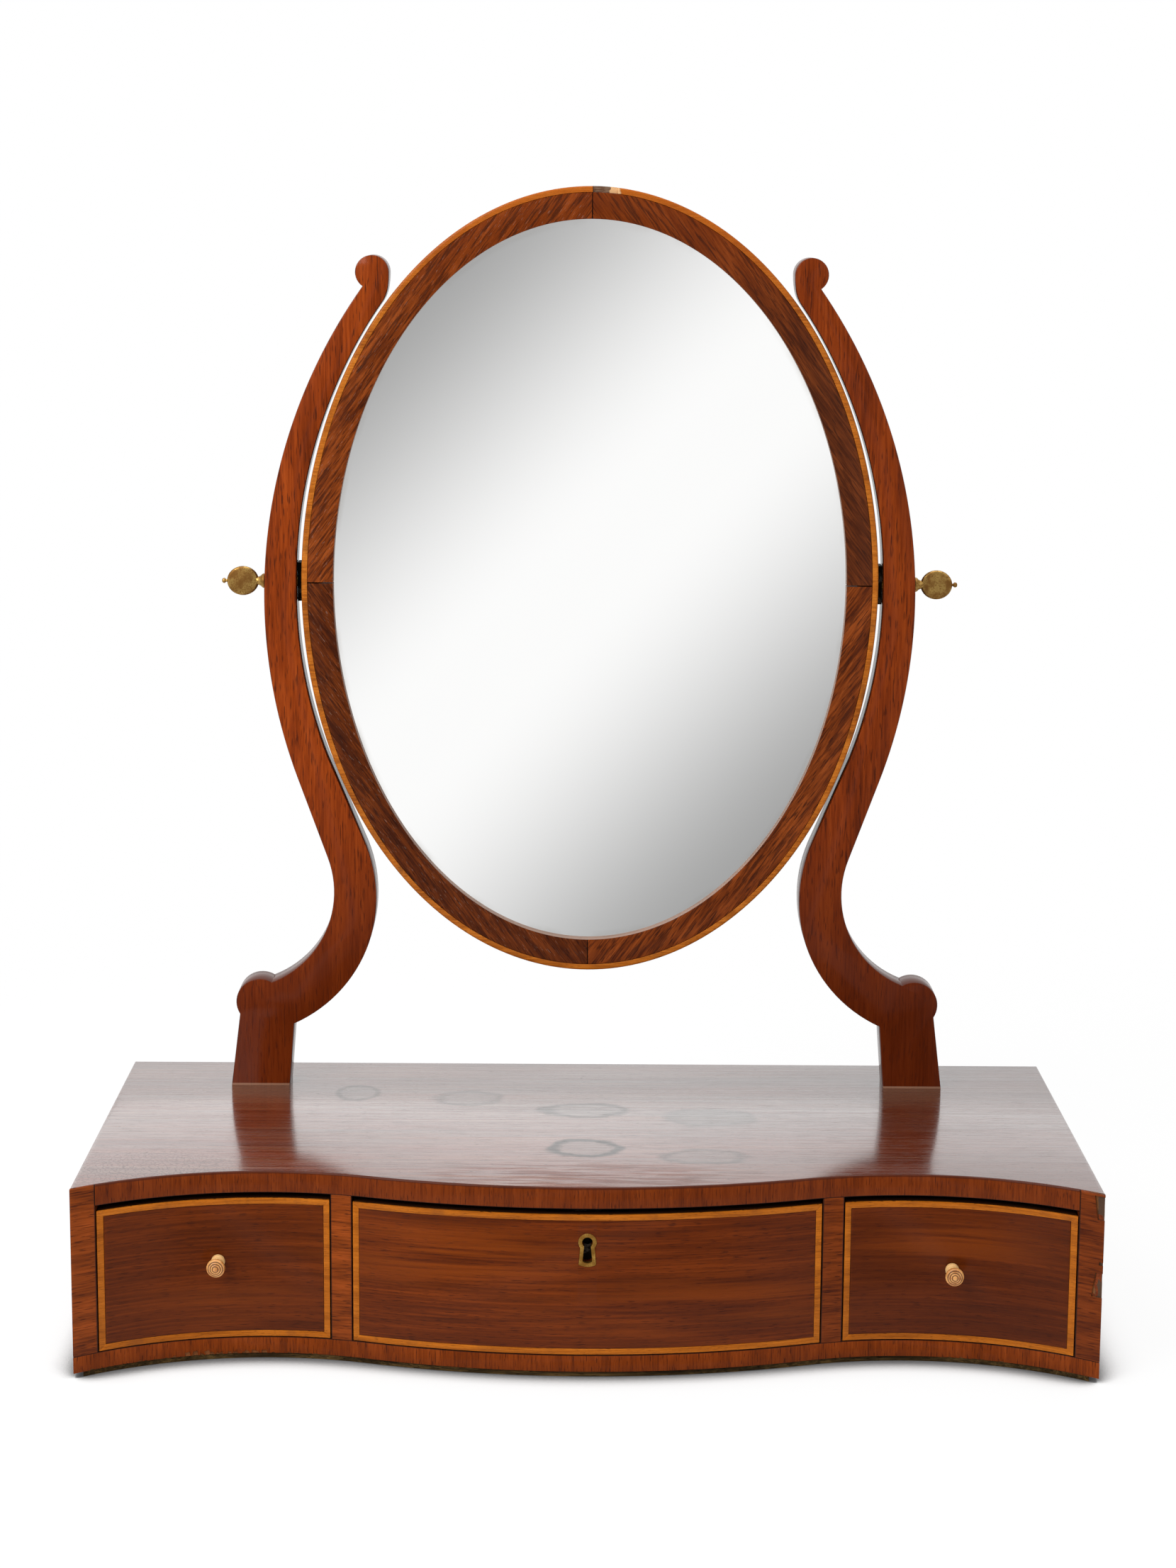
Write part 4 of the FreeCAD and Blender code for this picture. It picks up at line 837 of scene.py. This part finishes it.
KNOB_OUTLINE = [
    (0.0, 0.01265), (0.0009, 0.01265), (0.00115, 0.0125), (0.00125, 0.0122),
    (0.0019, 0.0123), (0.0022, 0.01215), (0.0023, 0.01185),
    (0.0029, 0.01195), (0.0032, 0.0118), (0.0033, 0.01152),
    (0.0038, 0.01155), (0.0041, 0.0113), (0.0043, 0.0108), (0.0043, 0.0099), (0.0041, 0.0092),
    (0.0035, 0.0083), (0.0028, 0.0074), (0.0024, 0.0061), (0.0023, 0.0046), (0.0025, 0.0031),
    (0.003, 0.0021), (0.0032, 0.0018), (0.0032, 0.0), (0.0, 0.0),
]
for side, x, y, z in (("left", -0.171, -0.08372, 0.0481), ("right", 0.1695, -0.08345, 0.0456)):
    knob = turned(side + "_knob_piece", KNOB_OUTLINE, (x, y, z), (0, -1, 0))
    finished(knob, bone(side + "_bone", (x, z)), side + "_drawer", "bone", side + "_knob")


# Scrolled uprights
# Fretsawn from straight-grained mahogany boards, filed smooth and polished, with a scroll at the head,
# a long arc beside the oval, a knee and a rolled foot, tenoned into the top.

UPRIGHT_FRONT_Y = 0.066
UPRIGHT_THICK = 0.018


def matt_shaded_edges(shader, coat, edge_coat, dark):
    """Leave the edges between front and back rougher from the fretsaw, with their own polish, and darken them
    with painted shade.
    """
    ahead = along(put(shader.id_data, "TexCoord", {}).outputs["Normal"], "Y")
    flat = ease(reckon("ABSOLUTE", ahead), 0.35, 0.9)
    feed(shader, {"Coat Weight": ease(flat, 0.0, 1.0, edge_coat, coat),
                  "Specular IOR Level": times(flat, 0.05)})
    sawn = ease(flat, 1.0, 0.0)
    # Painted shade: the side faces are darkened as if in shade.
    tint(shader, dark, sawn, 0.6)
    lay(shader, "Roughness", 0.85, sawn)


upright_mahogany = wood("upright_mahogany", (0.13, 0.018, 0.001), (0.225, 0.033, 0.002), (0.32, 0.053, 0.004),
                        UPRIGHT_GRAIN, (0.08, 0.009), (0.024, 0.0011), (0.008, 0.0007), 0.32, 0.5)
tree, shader = opened(upright_mahogany)
height = along(place(tree), "Z")
tint(shader, (0.075, 0.01, 0.0015), ease(height, 0.26, 0.12, 0.0, 0.7))
# Painted shade: darker towards the right.
painted_shade_to_right(shader, 0.26)
tint(shader, (0.42, 0.25, 0.16), ease(height, 0.0918, 0.0912, 0.0, 0.5))
# Side faces rougher, with painted shade.
matt_shaded_edges(shader, 0.5, 0.8, (0.05, 0.008, 0.001))
right_upright = trace("right_upright_piece", (0.1505, 0), [
    (0.1799, 0),
    (0.1753, 0.03699),
    ((0.1652, 0.04328), (0.15913, 0.05352), 20, 1),
    ((0.178, 0.10047), (0.13043, 0.11771), 24, -1),
    (0.14508, 0.15814),
    ((-0.1017, 0.2476), (0.11143, 0.40084), 48, 1),
    ((0.10679, 0.4076), (0.09859, 0.4076), 26, 1),
    ((0.14257, 0.4076), (0.0992, 0.4003), 3, 1),
    ((0.11695, 0.40329), (0.10226, 0.39288), 6, 1),
    ((-0.06473, 0.27397), (0.11951, 0.36387), 8, -1),
    ((-0.096, 0.256), (0.145, 0.256), 24, -1),
    (0.145, 0.2505),
    ((-0.0868, 0.2505), (0.1302, 0.169), 18, -1),
    (0.11101, 0.12353),
    ((0.178, 0.0974), (0.148, 0.03206), 28, 1),
    (0.1505, 0),
], UPRIGHT_FRONT_Y, TOP_Z)
thicken(UPRIGHT_THICK)
pick(right_upright, "EDGE", lambda edge: abs(edge.verts[0].co.y - edge.verts[1].co.y) < 1e-6
     and edge.verts[0].co.z + edge.verts[1].co.z > 2 * TOP_Z + 1e-5)
round_over(0.0005)
finished(right_upright, upright_mahogany, "base", "upright_mahogany", "right_upright")
opposite(right_upright, "left_upright_piece", upright_mahogany, "base", "upright_mahogany", "left_upright")


# Oval frame
# Four mahogany segments, each with the grain along its own chord, glued end to end at the top, the
# bottom and the two pivots. The joints have opened into dark cracks.

OVAL_Z = 0.3455
OVAL_HALF_WIDTH = 0.1425
OVAL_HALF_HEIGHT = 0.1944
PIVOT_Z = 0.3465
CHORD = math.atan2(0.186, 0.135)


def oval_loops(name, loops):
    """Draw an oval and extrude it from one (half width, half height, depth) to the next."""
    begin()
    bpy.ops.mesh.primitive_circle_add(vertices=240, radius=1, location=(0, 0, 0),
                                      rotation=(math.pi / 2, 0, 0))
    piece = settle(name)
    wide, tall, depth = loops[0]
    bpy.ops.transform.resize(value=(wide, 1, tall), center_override=(0, 0, 0))
    bpy.ops.transform.translate(value=(0, depth, OVAL_Z))
    for (wide, tall, depth), (next_wide, next_tall, next_depth) in zip(loops, loops[1:]):
        draw_out(0, next_depth - depth, 0)
        bpy.ops.transform.resize(value=(next_wide / wide, 1, next_tall / tall),
                                 center_override=(0, next_depth, OVAL_Z))
    whole()
    bpy.ops.mesh.remove_doubles(threshold=0.000005)
    bpy.ops.mesh.normals_make_consistent(inside=False)
    return piece


def inset(amount, depth):
    """A loop that lies an amount inside the frame's rim."""
    return OVAL_HALF_WIDTH - amount, OVAL_HALF_HEIGHT - amount, depth


frame_ring = oval_loops("frame_ring", [
    inset(0.003, 0.0672), inset(0.0032, 0.067), inset(0.0151, 0.067), inset(0.0156, 0.0672),
    inset(0.0157, 0.0677), inset(0.0157, 0.071), inset(0.0097, 0.071), inset(0.0097, 0.083),
    inset(0.0003, 0.083), inset(0.0, 0.0827), inset(0.0, 0.07), inset(0.003, 0.07), inset(0.003, 0.0672),
])
# Each segment's shade factor is partly its veneer's own tone and partly painted light: the right and lower
# segments are darkened as shade.
for level, side, up, out, shade in (("upper", "left", 1, -1, 1.06), ("upper", "right", 1, 1, 0.78),
                                    ("lower", "left", -1, -1, 0.58), ("lower", "right", -1, 1, 0.9)):
    grain = (0, CHORD * up * out, 0)
    tones = [[channel * shade for channel in tone] for tone in
             ((0.075, 0.013, 0.002), (0.175, 0.034, 0.004), (0.28, 0.06, 0.009))]
    veneer = wood("frame_veneer_%s_%s" % (level, side), *tones, grain, (0.025, 0.004),
                  (0.014, 0.0009), (0.006, 0.0006), 0.4, 0.3)
    tree, shader = opened(veneer)
    where = place(tree)
    height = along(where, "Z")
    tint(shader, (0.19, 0.029, 0.001), ease(height, 0.46, 0.53, 0.0, 0.45))
    # Painted shade: the upper right segment darkens towards its right side.
    if side == "right" and level == "upper":
        tint(shader, (0.045, 0.014, 0.006), ease(height, 0.51, 0.43, 0.0, 0.45))
    # Painted highlight: pale glints in the open pores of the left segments.
    if side == "left":
        tint(shader, (0.4, 0.28, 0.22), ease(fibres(tree, 0.0035, 0.0003, grain, 1.0), 0.68, 0.73), 0.25)
    tint(shader, (0.04, 0.008, 0.002), ease(fibres(tree, 0.012, 0.0009, grain, 3.0), 0.5, 0.64), 0.7)
    from_middle = reckon("ABSOLUTE", along(where, "X"))
    crack = ease(wander(from_middle, where, 400.0, 0.0003), 0.00032, 0.0002)
    tint(shader, (0.006, 0.004, 0.003), crack)
    # Side faces rougher, with painted shade.
    matt_shaded_edges(shader, 0.3, 0.25, (0.03, 0.006, 0.001))
    rim = ease(around(where, (0, 0, OVAL_Z), (OVAL_HALF_WIDTH, 1, OVAL_HALF_HEIGHT)), 0.95, 0.93)
    rubbed = times(rim, ease(along(where, "Y"), 0.0672, 0.0676))
    tint(shader, (0.5, 0.36, 0.29), rubbed, 0.55)
    segment = copy_of(frame_ring, "frame_%s_%s_piece" % (level, side))
    cut_off((0, 0, 0), (-out, 0, 0))
    cut_off((0, 0, PIVOT_Z + 0.0003 * up), (0, 0, -up))
    pick(segment, "EDGE", lambda edge: all(abs(end.co.x) < 1e-6 and end.co.y < 0.0675 for end in edge.verts))
    round_over(0.00022, 1)
    finished(segment, veneer, "mirror", "frame_veneer", "frame_%s_%s" % (level, side))


# Boxwood edging of the frame
# Strips of boxwood bent round the rim into a rebate, butted where the maker ran out. A bit is broken
# away beside the top joint.

edging_wood = wood("edging_boxwood", (0.26, 0.066, 0.006), (0.44, 0.124, 0.011), (0.56, 0.178, 0.02),
                   LEVEL_GRAIN, (0.05, 0.012), (0.012, 0.0008), (0.003, 0.0002), 0.36, 0.4)
tree, shader = opened(edging_wood)
where = place(tree)
across = along(where, "X")
height = along(where, "Z")
tint(shader, (0.16, 0.045, 0.008), ease(mottle(where, 90.0, 5.0), 0.52, 0.75), 0.7)
tint(shader, (0.36, 0.076, 0.005), ease(height, 0.46, 0.52, 0.0, 0.65))
ragged = wander(across, where, 90.0, 0.008)
broken = times(ease(height, 0.535, 0.5355), times(ease(across, 0.0, 0.0003), ease(ragged, 0.0135, 0.0125)))
tint(shader, (0.2, 0.12, 0.075), broken)
splinters = ease(fibres(tree, 0.004, 0.0006, LEVEL_GRAIN, 3.0), 0.45, 0.6)
tint(shader, (0.09, 0.03, 0.012), broken, times(splinters, 0.7))
tint(shader, (0.72, 0.42, 0.2), broken, ease(ragged, 0.0092, 0.0098))
lay(shader, "Roughness", 0.8, broken)

edging_ring = oval_loops("edging_ring", [
    inset(0.0029, 0.0671), inset(0.0028, 0.067), inset(0.0011, 0.067), inset(0.0005, 0.06712),
    inset(0.0001, 0.0675), inset(0.0, 0.0681), inset(0.0, 0.07), inset(0.0029, 0.07), inset(0.0029, 0.0671),
])
for name, start, end in (("edging_short", 90, 124), ("edging_left", 124, 263), ("edging_bottom", 263, 315),
                         ("edging_right", 315, 450)):
    strip = copy_of(edging_ring, name + "_piece")
    for angle, outward in ((start, -1), (end, 1)):
        turn = math.radians(angle)
        cut_off((0, 0, OVAL_Z), (-outward * math.sin(turn), 0, outward * math.cos(turn)))
    if name == "edging_right":
        missing = block("missing_bit", (-0.001, 0.066, 0.536), (0.0122, 0.0687, 0.542))
        bpy.ops.mesh.subdivide(number_cuts=3)
        bpy.ops.transform.vertex_random(offset=0.0003, seed=11)
        cut_out(strip, missing)
    finished(strip, edging_wood, "mirror", "boxwood", name)
begin()
frame_ring.select_set(True)
edging_ring.select_set(True)
bpy.ops.object.delete()


# Mirror plate
# A plain unbevelled plate, silvered behind, bedded in the rebate of the frame. The silvering has
# dulled a little towards the rim.

mirror_glass, tree, shader = new_finish("mirror_glass")
where = place(tree)
reach = around(where, (0, 0, OVAL_Z), (0.1268, 1000, 0.1787))
tired = times(ease(reach, 0.975, 1.0), ease(mottle(where, 40.0, 5.0), 0.4, 0.7))
silver = mixed(times(tired, 0.4), (0.97, 0.97, 0.965, 1), (0.6, 0.57, 0.53, 1))
feed(shader, {"Base Color": silver, "Roughness": ease(tired, 0, 1, 0.01, 0.12), "Metallic": 1.0})
dress(mirror_glass, "mirror_glass")


# Backboard, blocks and nails
# An oval pine board, thin and left rough, nailed over the back of the glass, which small pine blocks
# wedge in its rebate.

back_pine = wood("back_pine", (0.175, 0.072, 0.024), (0.26, 0.113, 0.039), (0.33, 0.155, 0.058),
                 UPRIGHT_GRAIN, (0.35, 0.016), (0.1, 0.0024), (0.008, 0.0005), 0.66, 0.0)
backboard = oval_loops("backboard_piece", [(0.1363, 0.1882, 0.083), (0.1363, 0.1882, 0.0858),
                                           (0.1357, 0.1876, 0.0866), (0.1345, 0.1864, 0.087)])
pick(backboard, "EDGE", lambda edge: edge.is_boundary)
bpy.ops.mesh.edge_face_add()
face_outwards()
finished(backboard, back_pine, "mirror", "pine", "backboard")
dress(back_pine, "glazing_blocks")
dress(black_iron, "backboard_nails")


# Pivot plates
# Small iron plates, blacked, screwed across the side joints of the frame, for the thumbscrews to
# turn in.

dress(black_iron, "left_pivot_plate", "right_pivot_plate")
dress(steel, "pivot_plate_screws")


# Thumbscrews
# Cast brass: an oval paddle with a small nib, on a belled collar and a shank that runs through the
# upright into the plate. The paddles are brown and blotched from handling.

PIVOT_Y = 0.075
PADDLE_THICK = 0.003

shank = turned("right_thumbscrew_piece", [
    (0.0, 0.1355), (0.0024, 0.1355), (0.0028, 0.1359), (0.0028, 0.16112), (0.0034, 0.16112),
    (0.0036, 0.1613), (0.0036, 0.1619), (0.0033, 0.1624), (0.0026, 0.1631), (0.0021, 0.1641),
    (0.0019, 0.1653), (0.0, 0.1653),
], (0, PIVOT_Y, PIVOT_Z), (1, 0, 0))
begin()
bpy.ops.mesh.primitive_circle_add(vertices=72, radius=1, fill_type="NGON", rotation=(math.pi / 2, 0, 0),
                                  location=(0.17195, PIVOT_Y - PADDLE_THICK / 2, PIVOT_Z))
bpy.context.object.scale = (0.00785, 0.0072, 1)
paddle = settle("paddle")
draw_out(0, PADDLE_THICK, 0)
face_outwards()
pick(paddle, "EDGE", lambda edge: abs(edge.verts[0].co.y - edge.verts[1].co.y) < 1e-6)
round_over(0.0011, 4)
nib = turned("nib", [
    (0.0, -0.0015), (0.0007, -0.0015), (0.0007, 0.0006), (0.00095, 0.0007), (0.00125, 0.0010),
    (0.0013, 0.0014), (0.0012, 0.0019), (0.0008, 0.0024), (0.0, 0.0026),
], (0.1798, PIVOT_Y, PIVOT_Z), (1, 0, 0), 24)
right_thumbscrew = joined("right_thumbscrew_piece", shank, paddle, nib)
finished(right_thumbscrew, aged_brass, "right_thumbscrew_body", "aged_brass", "right_thumbscrew")
opposite(right_thumbscrew, "left_thumbscrew_piece", aged_brass, "left_thumbscrew_body", "aged_brass",
         "left_thumbscrew")


# Studio
# A pale floor that fades into a white surround, a large soft lamp at the upper left turned a little away,
# a weak one at the right and one overhead, and the camera where the photographer stood.

begin()
bpy.ops.mesh.primitive_plane_add(size=6, location=(0, 0, 0))
floor = bpy.context.object
floor.name = "floor"
floor.visible_glossy = False
pale, tree, shader = new_finish("pale_floor")
# Painted shade: ambient occlusion darkens the floor's colour and glow next to the base, as a contact shadow.
open_floor = put(tree, "AmbientOcclusion", {"Distance": 0.03}).outputs["AO"]
contact = reckon("POWER", ease(open_floor, 1.0, 0.5), 5.0)
light = reckon("MULTIPLY_ADD", contact, -0.85, 1.0)
feed(shader, {"Base Color": times(light, 0.93), "Roughness": 0.7, "Specular IOR Level": 0.1})
glow = put(tree, "Emission", {"Color": (1, 1, 1, 1), "Strength": light})
looked_at = times(put(tree, "LightPath", {}).outputs["Is Camera Ray"], ease(open_floor, 0.4, 1.0, 0.2, 0.9))
lit = put(tree, "MixShader", {0: looked_at, 1: shader.outputs[0], 2: glow.outputs[0]})
clear = put(tree, "BsdfTransparent", {})
reach = put(tree, "VectorMath", {0: place(tree)}, operation="LENGTH").outputs["Value"]
fade = put(tree, "MixShader", {0: ease(reach, 0.3, 0.9), 1: lit.outputs[0], 2: clear.outputs[0]})
feed(tree.nodes["Material Output"], {"Surface": fade.outputs[0]})
floor.data.materials.append(pale)

surround = bpy.data.worlds.new("surround")
bpy.context.scene.world = surround
surround.use_nodes = True
tree = surround.node_tree
way = put(tree, "TexCoord", {}).outputs["Generated"]
slant = put(tree, "VectorMath", {0: way, 1: (0.7071, 0, -0.7071)}, operation="DOT_PRODUCT").outputs["Value"]
off = reckon("ABSOLUTE", reckon("SUBTRACT", slant, 0.083))
aside = reckon("ABSOLUTE", along(way, "X"))
band = ease(off, 0.01, 0.11, 1.0, 0.36)
band = reckon("MAXIMUM", band, ease(along(way, "Z"), -0.3, -0.5, 0.0, 0.9))
band = reckon("MAXIMUM", band, ease(aside, 0.2, 0.6, 0.0, 0.8))
room = blend(ease(along(way, "Y"), -0.4, 0.0), band, 1.0)
path = put(tree, "LightPath", {}).outputs
level = blend(reckon("MAXIMUM", path["Is Glossy Ray"], path["Is Transmission Ray"]), 0.5, room)
feed(tree.nodes["Background"], {"Strength": blend(path["Is Camera Ray"], level, 1.0), "Color": (1, 1, 1, 1)})

for name, spot, aim, size, power in (("key_lamp", (-1.2, -1.35, 1.45), (-1.4, 0.3, 0.25), 1.4, 40),
                                     ("fill_lamp", (1.6, -1.3, 1.1), (0, 0, 0.25), 1.4, 3),
                                     ("overhead_lamp", (0, 0.1, 2.2), (0, 0, 0.25), 2.2, 28)):
    bpy.ops.object.light_add(type="AREA", location=spot)
    lamp = bpy.context.object
    lamp.name = name
    lamp.data.size = size
    lamp.data.energy = power
    lamp.visible_camera = False
    lamp.rotation_euler = (Vector(spot) - Vector(aim)).to_track_quat("Z", "Y").to_euler()

CAMERA_PITCH = math.radians(90 - 10.283)
CAMERA_YAW = math.radians(-0.302)
CAMERA_ROLL = math.radians(0.392)
bpy.ops.object.camera_add(location=(-0.00855, -1.4997, 0.5307))
camera = bpy.context.object
turn = Euler((CAMERA_PITCH, 0, CAMERA_YAW)).to_matrix()
camera.rotation_euler = (turn @ Matrix.Rotation(CAMERA_ROLL, 3, "Z")).to_euler()
camera.data.sensor_width = 36
camera.data.lens = 73.24
bpy.context.scene.camera = camera
bpy.context.scene.view_settings.view_transform = "Standard"
